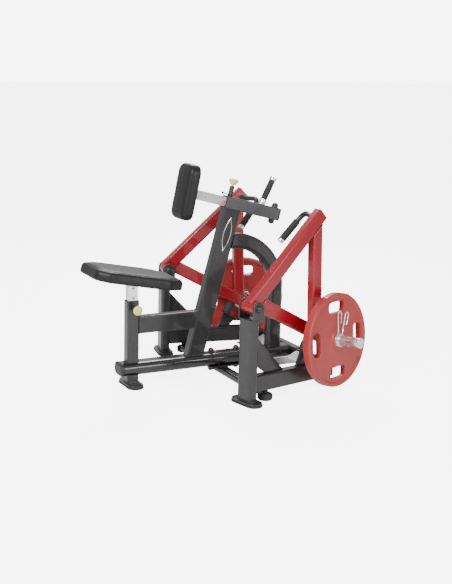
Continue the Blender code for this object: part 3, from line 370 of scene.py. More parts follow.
def joined(name, shells):
    """Closed shells as one object, with its faces pointing out."""
    base, points, faces = 0, [], []
    for shell_points, shell_faces in shells:
        points.append(shell_points)
        faces += [[i + base for i in face] for face in shell_faces]
        base += len(shell_points)
    mesh = bpy.data.meshes.new(name)
    mesh.from_pydata(np.concatenate(points).tolist(), [], faces)
    work = bmesh.new()
    work.from_mesh(mesh)
    bmesh.ops.remove_doubles(work, verts=work.verts, dist=1e-6)
    bmesh.ops.recalc_face_normals(work, faces=work.faces)
    work.to_mesh(mesh)
    work.free()
    made = bpy.data.objects.new(name, mesh)
    bpy.context.scene.collection.objects.link(made)
    return made


def shade(mesh, sharp=38.0):
    mesh.shade_smooth()
    mesh.set_sharp_from_angle(angle=math.radians(sharp))


def bake(made):
    """Applies an object's modifiers and hands back its new mesh."""
    mesh = bpy.data.meshes.new_from_object(made.evaluated_get(bpy.context.evaluated_depsgraph_get()))
    made.modifiers.clear()
    made.data = mesh
    return mesh


def piece(name, shells, paint, body, stands_for=None, sharp=38.0):
    """Closed shells as one painted, smooth-shaded object on a body, hiding the frame part it stands for."""
    made = joined(name, shells if isinstance(shells, list) else [shells])
    made.data.materials.append(paint)
    shade(made.data, sharp)
    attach(made, body)
    if stands_for:
        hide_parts(stands_for)
    return made


# ---------------------------------------------------------------- shader groups
def add_node(tree, kind, feeds=None, **settings):
    node = tree.nodes.new("ShaderNode" + kind)
    for key, value in settings.items():
        setattr(node, key, value)
    for socket, value in (feeds or {}).items():
        if isinstance(value, bpy.types.NodeSocket):
            tree.links.new(value, node.inputs[socket])
        else:
            node.inputs[socket].default_value = value
    return node


COLOUR, VALUE, VECTOR = "NodeSocketColor", "NodeSocketFloat", "NodeSocketVector"
LOOK = (("Colour", COLOUR), ("Roughness", VALUE), ("Normal", VECTOR))


def look_group(name, values):
    """A node group that gives colour, roughness and normal from two colours and named values."""
    group = bpy.data.node_groups.new(name, "ShaderNodeTree")
    for socket in ("Colour", "Second"):
        group.interface.new_socket(socket, in_out="INPUT", socket_type=COLOUR)
    for socket in values:
        group.interface.new_socket(socket, in_out="INPUT", socket_type=VALUE)
    for socket, kind in LOOK:
        group.interface.new_socket(socket, in_out="OUTPUT", socket_type=kind)
    return group, group.nodes.new("NodeGroupInput").outputs, group.nodes.new("NodeGroupOutput").inputs


def noise(tree, where, scale, detail=3.0, roughness=0.5):
    feeds = {"Vector": where, "Scale": scale, "Detail": detail, "Roughness": roughness}
    return add_node(tree, "TexNoise", feeds).outputs["Fac"]


def spread(tree, value, low, high, to_low, to_high):
    feeds = {"Value": value, "From Min": low, "From Max": high, "To Min": to_low, "To Max": to_high}
    return add_node(tree, "MapRange", feeds).outputs["Result"]


def blend_colour(tree, share, first, second):
    node = add_node(tree, "Mix", data_type="RGBA")
    for index, value in ((0, share), (6, first), (7, second)):
        tree.links.new(value, node.inputs[index])
    return node.outputs[2]


def relief(tree, height, depth, under=None):
    node = add_node(tree, "Bump", {"Height": height, "Distance": depth, "Strength": 0.6})
    if under is not None:
        tree.links.new(under, node.inputs["Normal"])
    return node.outputs["Normal"]


def object_place(tree):
    return add_node(tree, "TexCoord").outputs["Object"]


def finish_look(group, given, made, mottle, sheen, normal):
    """Links a look: mottle blends the colours and sheen the roughness, each a (noise, low, high)."""
    share = spread(group, *mottle, 0.0, 1.0)
    group.links.new(blend_colour(group, share, given["Colour"], given["Second"]), made["Colour"])
    group.links.new(spread(group, *sheen, given["Smooth"], given["Rough"]), made["Roughness"])
    group.links.new(normal, made["Normal"])
    return group


def paint_group():
    """Powder coat: slow clouds move the shade and sheen, and a fine noise gives the orange peel."""
    group, given, made = look_group("powder_coat", ("Smooth", "Rough", "Peel", "Depth"))
    where = object_place(group)
    clouds, smears = noise(group, where, 7.0, 4.0), noise(group, where, 31.0, 5.0, 0.65)
    peel = relief(group, noise(group, where, given["Peel"], 1.0), given["Depth"])
    return finish_look(group, given, made, (clouds, 0.35, 0.75), (smears, 0.3, 0.7), peel)


def hide_group():
    """Grained vinyl: smooth cells give the pebbles, a finer noise the pores between them."""
    group, given, made = look_group("grained_hide", ("Smooth", "Rough", "Cells", "Depth"))
    where = object_place(group)
    warp = add_node(group, "TexNoise", {"Vector": where, "Scale": 160.0, "Detail": 2.0}).outputs["Color"]
    push = add_node(group, "VectorMath", {0: warp, 1: (0.004,) * 3}, operation="MULTIPLY").outputs[0]
    moved = add_node(group, "VectorMath", {0: where, 1: push}, operation="ADD").outputs[0]
    cells = add_node(group, "TexVoronoi", {"Vector": moved, "Scale": given["Cells"]}, feature="SMOOTH_F1")
    pebbles, clouds = cells.outputs["Distance"], noise(group, where, 18.0, 3.0)
    creases = relief(group, noise(group, where, 46.0, 4.0), given["Depth"])
    grain = relief(group, pebbles, given["Depth"], creases)
    return finish_look(group, given, made, (pebbles, 0.8, 0.1), (clouds, 0.3, 0.7), grain)


def cast_group():
    """Coated cast iron: sand texture under the coat, with worn and dusty patches."""
    group, given, made = look_group("coated_casting", ("Smooth", "Rough", "Sand", "Depth"))
    where = object_place(group)
    patches = noise(group, where, 14.0, 6.0, 0.62)
    wave = relief(group, noise(group, where, 38.0, 3.0), given["Depth"])
    sand = relief(group, noise(group, where, given["Sand"], 2.0), given["Depth"], wave)
    return finish_look(group, given, made, (patches, 0.42, 0.72), (patches, 0.3, 0.7), sand)


def polish_group():
    """Polished plating: faint smears and fine scratches lying along one direction."""
    group, given, made = look_group("polished_plating", ("Smooth", "Rough", "Lines", "Depth"))
    where = object_place(group)
    thin = add_node(group, "Mapping", {"Vector": where, "Scale": (0.15, 1.0, 1.0)}).outputs["Vector"]
    smears = noise(group, where, 22.0, 4.0)
    lines = relief(group, noise(group, thin, given["Lines"], 2.0), given["Depth"])
    return finish_look(group, given, made, (smears, 0.4, 0.8), (smears, 0.3, 0.75), lines)


def wood_group():
    """Birch ply: rings stretched along the board and a fine pore noise."""
    group, given, made = look_group("birch_ply", ("Smooth", "Rough", "Rings", "Depth"))
    where = object_place(group)
    drawn = add_node(group, "Mapping", {"Vector": where, "Scale": (0.12, 1.0, 1.0)}).outputs["Vector"]
    rings = noise(group, drawn, given["Rings"], 5.0, 0.6)
    pores = relief(group, rings, given["Depth"])
    return finish_look(group, given, made, (rings, 0.35, 0.65), (rings, 0.3, 0.7), pores)


COAT, HIDE, CAST, POLISH, WOOD = paint_group(), hide_group(), cast_group(), polish_group(), wood_group()


def material(name, group, colours, values, **shader):
    """A Principled surface fed by one look group, whose values follow the order of its sockets.

    The values are the smoothest and roughest sheen, the grain's scale and its depth. Further
    constants go on the shader itself.
    """
    made = bpy.data.materials.new(name)
    made.use_nodes = True
    tree = made.node_tree
    principled = tree.nodes["Principled BSDF"]
    look = tree.nodes.new("ShaderNodeGroup")
    look.node_tree = group
    for socket, value in zip(look.inputs, [(*rgb, 1.0) for rgb in colours] + list(values)):
        socket.default_value = value
    for output, target in (("Colour", "Base Color"), ("Roughness", "Roughness"), ("Normal", "Normal")):
        tree.links.new(look.outputs[output], principled.inputs[target])
    for socket, value in shader.items():
        principled.inputs[socket.replace("_", " ")].default_value = value
    return made


def coat(name, colours, smooth, rough, **shader):
    return material(name, COAT, colours, (smooth, rough, 420.0, 0.00004), **shader)


FRAME = coat("frame_paint", ((0.018, 0.018, 0.019), (0.023, 0.023, 0.024)), 0.28, 0.38, Coat_Weight=0.35)
# The frame's paint again, darker and glossier: the darker colour is painted shade on the low base and cross
# tubes.
FRAME_PAINTED_SHADE = coat("frame_paint_painted_shade", ((0.009, 0.009, 0.010), (0.012, 0.012, 0.013)), 0.20, 0.30, Coat_Weight=0.5)
ARM = coat("arm_paint", ((0.060, 0.061, 0.064), (0.075, 0.076, 0.080)), 0.28, 0.40, Coat_Weight=0.2)
RED = coat("lever_paint", ((0.32, 0.002, 0.009), (0.34, 0.003, 0.011)), 0.26, 0.33, Coat_Weight=0.4)
STEEL = coat("black_steel", ((0.020, 0.020, 0.021), (0.030, 0.030, 0.031)), 0.30, 0.42)
PLASTIC = coat("black_plastic", ((0.018, 0.018, 0.018), (0.026, 0.026, 0.026)), 0.42, 0.55)
KNOB = coat("knob_yellow", ((0.93, 0.91, 0.22), (0.88, 0.86, 0.19)), 0.28, 0.38, Coat_Weight=0.3)
TREAD = coat("tread_aluminium", ((0.56, 0.57, 0.58), (0.48, 0.49, 0.50)), 0.38, 0.50, Metallic=0.35)
cast_red, cast_black = ((0.43, 0.036, 0.034), (0.46, 0.052, 0.048)), ((0.022,) * 3, (0.034, 0.033, 0.032))
PLATE = material("plate_paint", CAST, cast_red, (0.38, 0.52, 620.0, 0.00012), Coat_Weight=0.15)
RUBBER = material("rubber", CAST, cast_black, (0.62, 0.80, 1100.0, 0.00008))
silver = ((0.93, 0.94, 0.95), (0.88, 0.89, 0.90))
CHROME = material("chrome", POLISH, silver, (0.08, 0.20, 900.0, 0.00003), Metallic=0.88)
hide_black = ((0.022, 0.022, 0.023), (0.012, 0.012, 0.013))
VINYL = material("vinyl", HIDE, hide_black, (0.34, 0.46, 620.0, 0.00012), Specular_IOR_Level=0.22)
birch = ((0.46, 0.30, 0.16), (0.36, 0.22, 0.11))
PLY = material("plywood", WOOD, birch, (0.55, 0.72, 60.0, 0.0002))


# ---------------------------------------------------------------- centre frame
frame_welds = []


def weld(loop, beads=frame_welds, radius=0.0026):
    beads.append(bead(loop, radius))


def square_loop(centre, first, second, outline):
    return centre + outline(0) @ np.stack([first, second])


BASE_SECTION = rounded(BASE_WIDTH, BASE_TOP - BASE_BOTTOM, 0.028, 10)
POST_SECTION = rounded(POST_WIDTH, POST_DEPTH, 0.006)


def base_and_post():
    """The flat-oval base tube with its domed end cap, and the hollow seat post on it."""
    front = from_post(BASE_FRONT + 0.012, 0, BASE_MID)
    rear = from_post(CROSS_X - CROSS_WIDTH / 2 - GAP, 0, BASE_MID)
    piece("base_tube_skin", bar(front, rear, Y_AXIS, BASE_SECTION), FRAME_PAINTED_SHADE, "root", "base_tube")
    rows = [(0.0004, GAP), (-0.001, 0.0012), (-0.001, 0.0080)]
    turn = np.linspace(0, math.pi / 2, 9)[1:]
    rows += list(zip(0.017 * (1 - np.cos(turn)) - 0.001, 0.0080 + 0.0085 * np.sin(turn)))
    plane = np.stack([Y_AXIS, UP])
    cap = skin([front - X_AXIS * d + BASE_SECTION(i) @ plane for i, d in rows])
    piece("base_end_plug", cap, PLASTIC, "root", "base_tube_cap")
    low, top = from_post(0, 0, BASE_TOP + GAP), from_post(0, 0, SEAT_POST_TOP)
    bore = rounded(POST_WIDTH - 0.008, POST_DEPTH - 0.008, 0.003)
    post = hollow(low, top, Y_AXIS, POST_SECTION, bore)
    piece("seat_post_tube", post, FRAME, "root", "seat_post")
    liner_out, liner_in = rounded(0.0418, 0.0518, 0.003), rounded(0.0404, 0.0484, 0.004)
    liner = hollow(top - UP * 0.06, top + UP * 0.0012, Y_AXIS, liner_out, liner_in, 0.0003)
    piece("seat_post_liner", liner, PLASTIC, "root")
    weld(square_loop(low, Y_AXIS, X_AXIS, POST_SECTION))


def rail_mast_arch():
    """The seat rail, the leaning mast and the member that bends down behind it."""
    normal = np.array([math.cos(LEAN), 0, -math.sin(LEAN)])
    front_face = (mast_at(0.3) - normal * (MAST_DEPTH / 2 + GAP), normal)
    start = from_post(POST_DEPTH / 2 + GAP, 0, (RAIL_LOW + RAIL_HIGH) / 2)
    section = rounded(POST_WIDTH, RAIL_HIGH - RAIL_LOW, 0.006)
    end = start + X_AXIS * 0.27
    rail = bar(start, end, Y_AXIS, section, (None, front_face))
    piece("seat_rail_tube", rail, FRAME, "root", "seat_rail")
    weld(bar_end(start, end, Y_AXIS, section, front_face))
    weld(square_loop(start, Y_AXIS, UP, section))

    mast_section = rounded(MAST_WIDTH, MAST_DEPTH, 0.006)
    foot_cut = (from_post(0, 0, BASE_TOP + GAP), UP)
    head_cut = (sleeve_at(0, -SLEEVE_OUTER / 2 - GAP), SLEEVE_OFF)
    low, high = mast_at(0.2), mast_at(0.8)
    mast = bar(low, high, Y_AXIS, mast_section, (foot_cut, head_cut))
    piece("mast_tube", mast, FRAME, "root", "mast")
    weld(bar_end(low, high, Y_AXIS, mast_section, head_cut))
    weld(bar_end(high, low, Y_AXIS, mast_section, foot_cut))

    arch_x, arch_z = ARCH_CENTRE
    turn = np.radians(np.linspace(90, 0, 33))
    spots = zip(arch_x + ARCH_RADIUS * np.cos(turn), arch_z + ARCH_RADIUS * np.sin(turn))
    bend = [from_post(x, 0, z) for x, z in spots]
    path = np.array([bend[0] - X_AXIS * 0.05, *bend, from_post(arch_x + ARCH_RADIUS, 0, BASE_TOP + GAP)])
    arch_section = rounded(ARCH_WIDTH, ARCH_DEPTH, 0.020, 9)
    points, faces = swept(path, arch_section, Y_AXIS)
    size = len(arch_section(0))
    rear_face = (mast_at(0.3) + normal * (MAST_DEPTH / 2 + GAP), normal)
    points[:size] = slide_to(points[:size], X_AXIS, rear_face)
    piece("rear_arch_tube", (points, faces), FRAME, "root", "rear_arch")
    weld(points[:size])
    weld(points[-size:])


def badge():
    """A blank pointed-oval plate on the mast's right-hand face."""
    turn = np.linspace(-1, 1, 41)
    half, tall = 0.0205 * (1 - turn**2), 0.086 * turn
    ring = np.concatenate([np.stack([half, tall], 1)[:-1], np.stack([-half, -tall], 1)[:-1]])
    plane = np.stack([SLEEVE_ALONG, SLEEVE_OFF])
    face = mast_at(BADGE_Z, -MAST_WIDTH / 2)
    rim, field = ((1, -0.0005), (1, 0.0007), (0.93, 0.0012)), ((0.86, 0.0), (0.86, 0.0014), (0.8, 0.0016))
    for name, paint, steps in (("mast_badge_rim", CHROME, rim), ("mast_badge_field", STEEL, field)):
        piece(name, skin([face + (ring * s) @ plane - Y_AXIS * d for s, d in steps]), paint, "root")


def domed_bolt(foot, direction, grip, radius=0.016, tall=0.022, washer=0.002):
    """A through bolt with a washer and a domed plastic cap at both ends of what it clamps."""
    turn = np.linspace(0, math.pi / 2, 8)[:-1]
    head = [(0.0055, -0.0002), (radius * 1.27, -0.0002), (radius * 1.27, -washer), (radius, -washer)]
    head += [(radius, -washer - tall * 0.42)]
    dome = [(radius * math.cos(t), -washer - tall * (0.42 + 0.55 * math.sin(t))) for t in turn]
    low = np.concatenate([soft(head, 0.0005), dome])
    high = np.stack([low[:, 0], grip - low[:, 1]], 1)
    return turned(foot, direction, np.concatenate([low[::-1], high]), 40)


def cross_members():
    """Front and rear cross tubes, the bolted flange and the bolts with their caps."""
    middle = sum(BASE_BOLT_X) / 2
    top = BASE_BOTTOM - GAP
    low = top - 0.008
    tube_mid = low - 0.017 + 0.002
    section = rounded(CROSS_WIDTH, 0.034, 0.010)
    ends = [from_post(middle - 0.02, y, tube_mid) for y in (-0.405, 0.405)]
    flange = slab(rounded(0.190, 0.100, 0.010), from_post(middle, 0, 0), X_AXIS, Y_AXIS, low, top)
    shells = [bar(*ends, X_AXIS, section, lips=(0.004, 0.004)), flange]
    piece("front_cross_member", shells, FRAME_PAINTED_SHADE, "root", "front_cross_tube")
    bolts = [domed_bolt(from_post(x, 0, low), UP, BASE_TOP - low, 0.015, 0.022, 0.002) for x in BASE_BOLT_X]
    piece("base_bolts", bolts, STEEL, "root")
    cuts = [(side.at(0, 0, -SIDE_RAIL_WIDTH / 2 - GAP), side.out) for side in SIDES]
    ends = [from_post(CROSS_X, y, BASE_MID) for y in (-0.3, 0.3)]
    section = rounded(CROSS_WIDTH, BASE_TOP - BASE_BOTTOM, 0.012)
    rear = bar(*ends, X_AXIS, section, cuts)
    piece("rear_cross_member", rear, FRAME_PAINTED_SHADE, "root", "rear_cross_tube")
    for a, b, cut in ((ends[0], ends[1], cuts[1]), (ends[1], ends[0], cuts[0])):
        weld(bar_end(a, b, X_AXIS, section, cut))


def chest_slide():
    """The hollow sloping arm, its liner and end cap, and the stop bolt."""
    outer, inner = rounded(SLEEVE_OUTER, SLEEVE_OUTER, 0.008), rounded(SLEEVE_INNER, SLEEVE_INNER, 0.004)
    tube = hollow(sleeve_at(0), sleeve_at(SLEEVE_LENGTH), Y_AXIS, outer, inner)
    piece("chest_slide_arm", tube, ARM, "root", "chest_sleeve")
    liner_out, liner_in = rounded(0.0512, 0.0512, 0.004), rounded(0.0466, 0.0466, 0.004)
    liner = hollow(sleeve_at(-0.003), sleeve_at(0.09), Y_AXIS, liner_out, liner_in, 0.0006)
    piece("chest_slide_liner", liner, PLASTIC, "root")
    turn = np.linspace(0, math.pi / 2, 7)
    dome = zip(0.009 * (1 - np.cos(turn)), 0.005 + 0.0045 * np.sin(turn))
    rows = [(0.0, GAP), *dome]
    plane = np.stack(across(SLEEVE_ALONG, Y_AXIS))
    cap = skin([sleeve_at(SLEEVE_LENGTH + d) + outer(i) @ plane for i, d in rows])
    piece("slide_end_plug", cap, PLASTIC, "root", "sleeve_cap")
    bolt = domed_bolt(sleeve_at(SLEEVE_LENGTH - STOP_INSET, -SLEEVE_OUTER / 2), SLEEVE_OFF, SLEEVE_OUTER)
    piece("slide_stop_caps", bolt, PLASTIC, "root", "sleeve_stop_bolt")


def centre_grip():
    """The upright grip on the sloping arm: a chrome core under a ribbed hose."""
    foot = sleeve_at(GRIP_ALONG, SLEEVE_OUTER / 2)
    axis = SLEEVE_OFF * math.cos(GRIP_LEAN) + SLEEVE_ALONG * math.sin(GRIP_LEAN)
    low, high = 0.026, GRIP_TOP - 0.017
    collar = soft([(0.0, -0.004), (0.0175, -0.004), (0.0175, low), (0.011, low)], 0.0012)
    tip = soft([(0.011, high), (0.0175, high), (0.0175, GRIP_TOP), (0.0, GRIP_TOP)], 0.0022, 5)
    profile = np.concatenate([collar[1:], tip[:-1]])
    piece("centre_grip_core", turned(foot, axis, profile), CHROME, "root", "centre_grip_post")
    hose = ribbed(foot, axis, 0.0160, 0.0113, low, high)
    piece("centre_grip_hose", hose, RUBBER, "root", "centre_grip")
    lips = rounded(0.036, 0.036, 0.017, 12)
    weld(bar_end(foot - axis * 0.02, foot, Y_AXIS, lips, (foot, SLEEVE_OFF)), radius=0.0018)


def ribbed(origin, axis, radius, inner, low, high, pitch=0.0052):
    """A rubber hose whose radius dips in a narrow groove once every pitch along it."""
    at = np.arange(low + 0.0022, high - 0.0022, 0.00065)
    dip = 0.0009 * np.exp(-((((at - low) / pitch) % 1 - 0.5) / 0.12) ** 2)
    body = np.stack([radius - dip, at], 1)
    ends = [(inner, low + GAP), (radius - 0.0016, low + GAP), (radius - 0.0004, low + 0.0012)]
    tail = [(radius - 0.0004, high - 0.0012), (radius - 0.0016, high - GAP), (inner, high - GAP)]
    return turned(origin, axis, np.concatenate([ends, body, tail]), 32, ring=True)


# ---------------------------------------------------------------- side frames
def foot_shells(centre, first, second):
    """A steel foot plate with round ends, and the rubber pad moulded under it."""
    oval = stadium(0.178, 0.078)
    plate = slab(oval, centre, first, second, RUBBER_TOP + GAP, PLATE_TOP, 0.0015)
    share = np.linspace(0, 1, 7)
    swell = list(zip(-0.003 * np.sin(math.pi * share / 1.25), 0.0105 * share + 0.0008))
    rows = [(0.006, 0.0), (0.002, 0.0), *swell, (0.001, RUBBER_TOP)]
    pad = skin([centre + UP * h + oval(i) @ np.stack([first, second]) for i, h in rows])
    return plate, pad


def front_foot():
    """The seat post's foot under the base tube."""
    plate, pad = foot_shells(from_post(0, 0, 0), Y_AXIS, -X_AXIS)
    stub = bar(from_post(0, 0, PLATE_TOP - 0.003), from_post(0, 0, BASE_BOTTOM - GAP), Y_AXIS, POST_SECTION)
    piece("front_foot_stub", [stub, plate], FRAME, "root", "front_foot")
    piece("front_foot_pad", pad, RUBBER, "root", "front_rubber_pad")
    weld(square_loop(from_post(0, 0, PLATE_TOP), Y_AXIS, X_AXIS, POST_SECTION))


def link_under(t):
    drop = LINK_OFFSET - LINK_DEPTH / 2
    cos, sin = math.cos(LINK_ANGLE), math.sin(LINK_ANGLE)
    return t * cos - drop * sin, t * sin + drop * cos


def stop_bracket(side):
    """The seat plate square to the resting lever, and the web that holds it on the rail."""
    cos, sin = math.cos(LINK_ANGLE), math.sin(LINK_ANGLE)
    touch, rise, thick = link_under(STOP_ALONG), BUMPER_HEIGHT + 2 * GAP, 0.006
    seat = np.array([touch[0] + rise * sin, touch[1] - rise * cos])
    way, down = np.array([cos, sin]), np.array([sin, -cos])
    front, rear = seat - way * 0.0255 + down * thick / 2, seat + way * 0.0715 + down * thick / 2
    section = rounded(0.050, thick, 0.0015, 4)
    flange = bar(side.at(*front), side.at(*rear), side.out, section, lips=(0.0012, 0.0012))
    floor_v = SIDE_RAIL_TOP - PIVOT[2] - 0.001
    top = [front + way * 0.014, rear - way * 0.010]
    corners = [(0.286, floor_v), (0.341, floor_v), tuple(top[1]), tuple(top[0])]
    web = slab(polygon(corners, 0.001), side.at(0, 0), side.rear, UP, -0.008, 0.008, 0.001)
    return [flange, web]


def side_post(side):
    """The upright with its foot plate, its floor pad and the triangular web behind it."""
    low, top = side.floor(SIDE_POST_U, PLATE_TOP - 0.003), side.floor(SIDE_POST_U, SIDE_POST_TOP)
    section = rounded(SIDE_POST_WIDTH, SIDE_POST_DEPTH, 0.016, 9)
    post = bar(low, top, side.out, section)
    plate, pad = foot_shells(side.floor(SIDE_POST_U, 0), side.out, side.rear * -side.hand)
    weld_u, rail_v = SIDE_POST_U + SIDE_POST_DEPTH / 2 - 0.002, SIDE_RAIL_TOP - PIVOT[2]
    corners = [(weld_u, -0.264), (0.094, rail_v), (0.204, rail_v), (weld_u, -0.120)]
    web = slab(polygon(corners, 0.003), side.at(0, 0), side.rear, UP, -0.006, 0.006, 0.001)
    piece("side_upright_" + side.word, [post, plate, web], FRAME, "root", "side_post_" + side.word)
    piece("side_foot_pad_" + side.word, pad, RUBBER, "root", "rubber_pad_" + side.word)
    weld(square_loop(side.floor(SIDE_POST_U, PLATE_TOP), side.out, side.rear, section))
    edge = ((-0.262, 0.006), (-0.124, 0.006), (-0.124, -0.006), (-0.262, -0.006))
    weld(np.array([side.at(weld_u + 0.002, v, w) for v, w in edge]), radius=0.0020)


def side_rail(side):
    """The low rail from the upright to the rear cross tube, with its stop bracket."""
    middle = (SIDE_RAIL_LOW + SIDE_RAIL_TOP) / 2
    start = side.floor(SIDE_POST_U + SIDE_POST_DEPTH / 2 + GAP, middle)
    end, end_cut = side.floor(0.5, middle), (from_post(RAIL_END_X, 0, 0), X_AXIS)
    section = rounded(SIDE_RAIL_WIDTH, SIDE_RAIL_TOP - SIDE_RAIL_LOW, 0.008)
    rail = bar(start, end, side.out, section, (None, end_cut), (0, 0.002))
    shells = [rail, *stop_bracket(side)]
    piece("side_rail_tube_" + side.word, shells, FRAME, "root", "side_rail_" + side.word)
    weld(square_loop(start, side.out, UP, section))


def pivot_yoke(side):
    """The pivot's bracket: two round-topped cheeks and the floor between them."""
    reach, floor_v = 0.033, SIDE_POST_TOP + GAP - PIVOT[2]
    turn = np.radians(np.linspace(0, 180, 25))
    cheek = np.array([(-reach, floor_v), (reach, floor_v), *zip(reach * np.cos(turn), reach * np.sin(turn))])

    def outline(inset=0.0):
        shrunk = cheek * (reach - inset) / reach
        return np.stack([shrunk[:, 0], np.where(cheek[:, 1] < 0, cheek[:, 1] + inset, shrunk[:, 1])], 1)

    shells = [
        slab(outline, side.at(0, 0, w), side.rear, UP, 0, CHEEK_THICK, 0.0015)
        for w in (CHEEK_INNER, -CHEEK_INNER - CHEEK_THICK)
    ]
    foot = side.at(0, floor_v)
    low, high = sorted((0, -side.hand * CHEEK_THICK))
    box = rounded(2 * reach, 2 * CHEEK_INNER + 0.004, 0.002, 3)
    shells.append(slab(box, foot, side.rear, side.out, low, high, 0.0008))
    piece("pivot_yoke_" + side.word, shells, FRAME, "root", "pivot_bracket_" + side.word)
    around = rounded(2 * reach, 2 * (CHEEK_INNER + CHEEK_THICK), 0.003)
    weld(square_loop(foot, side.rear, side.out, around))


def pivot_pin(side):
    """The pivot bolt with a washer and a domed cap outside each cheek."""
    cap = 0.0165
    rim = soft([(BOLT_RADIUS, 0), (0.0205, 0), (0.0205, 0.003), (cap, 0.003), (cap, 0.0101)], 0.0006)
    turn = np.linspace(0, math.pi / 2, 8)[:-1]
    dome = np.stack([cap * np.cos(turn), 0.0105 + 0.0085 * np.sin(turn)], 1)
    half = np.concatenate([rim, dome]) + [0, CHEEK_INNER + CHEEK_THICK + GAP]
    bolt = turned(side.pivot, side.out, np.concatenate([half[::-1] * [1, -1], half]), 48)
    piece("pivot_pin_" + side.word, bolt, STEEL, "root", "pivot_bolt_" + side.word)


def buffer_and_feet(side):
    """The stop buffer on its bracket, the foot under the rail and the one under the cross tube."""
    off = side.rear * math.sin(LINK_ANGLE) - UP * math.cos(LINK_ANGLE)
    line = [(0.0, GAP), (0.0190, GAP), (0.0230, 0.006), (0.0205, 0.022), (0.0230, 0.038)]
    line += [(0.0230, BUMPER_HEIGHT - 0.006), (0.024, BUMPER_HEIGHT - 0.004), (0.024, BUMPER_HEIGHT)]
    line.append((0.0, BUMPER_HEIGHT))
    buffer = turned(side.at(*link_under(STOP_ALONG)), off, soft(line, 0.003)[1:-1], 40)
    piece("stop_buffer_" + side.word, buffer, RUBBER, "root", "stop_bumper_" + side.word)
    line = [(0.0, 0.0), (0.030, 0.0), (0.035, 0.006), (0.036, 0.026), (0.030, 0.032), (0.013, 0.034)]
    line = soft([*line, (0.013, SIDE_RAIL_LOW)], 0.0015)[1:]
    piece("rail_foot_" + side.word, turned(side.floor(0.100, 0.0005), UP, line, 48), RUBBER, "root")
    line = [(0.0, 0.0), (0.030, 0.0), (0.034, 0.003), (0.034, 0.016), (0.028, 0.020), (0.012, 0.021)]
    line = soft([*line, (0.012, BASE_BOTTOM - GAP)], 0.0012)[1:]
    rear_foot = turned(from_post(CROSS_X, side.hand * 0.200, 0), UP, line, 40)
    piece("levelling_foot_" + side.word, rear_foot, RUBBER, "root", "rear_foot_" + side.word)


def tread(side):
    """The folded foot tread on the rear cross tube's front face, with raised bars across its top."""
    thick, rise = 0.004, math.radians(26)
    front, bend = TREAD_X
    tab, radius = CROSS_X - CROSS_WIDTH / 2 - GAP, 0.018
    crest = TREAD_Z + (tab - bend) * math.tan(rise)
    reach, turn = radius * math.tan(rise / 2), np.linspace(0, rise, 9)
    top = [(front, TREAD_Z)]
    top += [(bend - reach + radius * math.sin(t), TREAD_Z + radius * (1 - math.cos(t))) for t in turn]
    top += [(tab - 0.004, crest - 0.0022), (tab - 0.0008, crest - 0.003), (tab, crest - 0.006), (tab, 0.072)]
    top = np.array(top)
    ahead = np.gradient(top, axis=0)
    ahead /= np.linalg.norm(ahead, axis=1)[:, None]
    under = top + np.stack([ahead[:, 1], -ahead[:, 0]], 1) * thick
    under[-1], under[-2] = (tab - thick, 0.072), (tab - thick, crest - 0.008)
    under[-3], under[-4] = (tab - thick - 0.0005, crest - 0.0068), (tab - thick - 0.003, crest - 0.0079)
    outline = np.concatenate([top, under[::-1]])
    spread_y = np.linspace(*TREAD_Y, 5)
    shells = [skin([[from_post(x, side.hand * y, z) for x, z in outline] for y in spread_y])]
    section = rounded(0.006, 0.0022, 0.0009, 2)
    inner, outer = TREAD_Y[0] + 0.010, TREAD_Y[1] - 0.010
    for x in np.arange(front + 0.012, bend - 0.006, 0.0145):
        ends = [from_post(x, side.hand * y, TREAD_Z + 0.0004) for y in (inner, outer)]
        shells.append(bar(*ends, X_AXIS, section, lips=(0.0006, 0.0006)))
    slope = np.array([math.cos(rise), 0, math.sin(rise)])
    for along in (0.016, 0.031, 0.046):
        spots = [from_post(bend, side.hand * y, TREAD_Z + 0.0004) + slope * along for y in (inner, outer)]
        shells.append(bar(*spots, slope, section, lips=(0.0006, 0.0006)))
    piece("foot_rest_" + side.word, shells, TREAD, "root", "foot_tread_" + side.word)


# ---------------------------------------------------------------- adjusters, seat and chest pad
def pull_pin(name, mouth, outward, neck):
    """A spring pull pin: a stepped housing on the tube, and its plunger with a waisted round knob."""
    line = [(0.0072, GAP), (0.0128, GAP), (0.0128, 0.010), (0.0118, 0.011), (0.0118, neck - 0.004)]
    line = soft([*line, (0.0105, neck), (0.0072, neck)], 0.0007)
    housing = turned(mouth, outward, line, 40, ring=True)
    piece(name + "_barrel", housing, STEEL, "root", name + "_housing")
    knob = [(0.0, -0.0036), (0.0045, -0.0036), (0.0058, -0.0024), (0.0058, neck + 0.0065)]
    knob += [(0.0150, neck + 0.0065), (0.0165, neck + 0.014), (0.0220, neck + 0.020), (0.0235, neck + 0.026)]
    knob += [(0.0215, neck + 0.031), (0.0150, neck + 0.034), (0.0, neck + 0.0345)]
    flutes = (14, 0.0005, neck + 0.017, neck + 0.032)
    knob_shell = turned(mouth, outward, soft(knob, 0.003, 4)[1:-1], 112, flutes=flutes)
    piece(name + "_knob", knob_shell, KNOB, name, name)


def drill(made, places, way):
    """Cuts round pin holes into a finished tube."""
    line = [(PIN_HOLE_RADIUS, 0), (PIN_HOLE_RADIUS, PIN_HOLE_DEPTH)]
    tool = joined("drill", [turned(place, way, line, 32) for place in places])
    step = made.modifiers.new("drill", "BOOLEAN")
    step.operation, step.solver, step.object = "DIFFERENCE", "EXACT", tool
    shade(bake(made))
    bpy.data.objects.remove(tool)


TILT_ALONG = np.array([math.cos(SEAT_TILT), 0, -math.sin(SEAT_TILT)])
TILT_OFF = np.array([math.sin(SEAT_TILT), 0, math.cos(SEAT_TILT)])


def seat_layer(depth):
    """The middle of the seat's layer at a depth under the cushion's top."""
    return from_post(0, 0, SEAT_TOP_Z) - TILT_OFF * depth


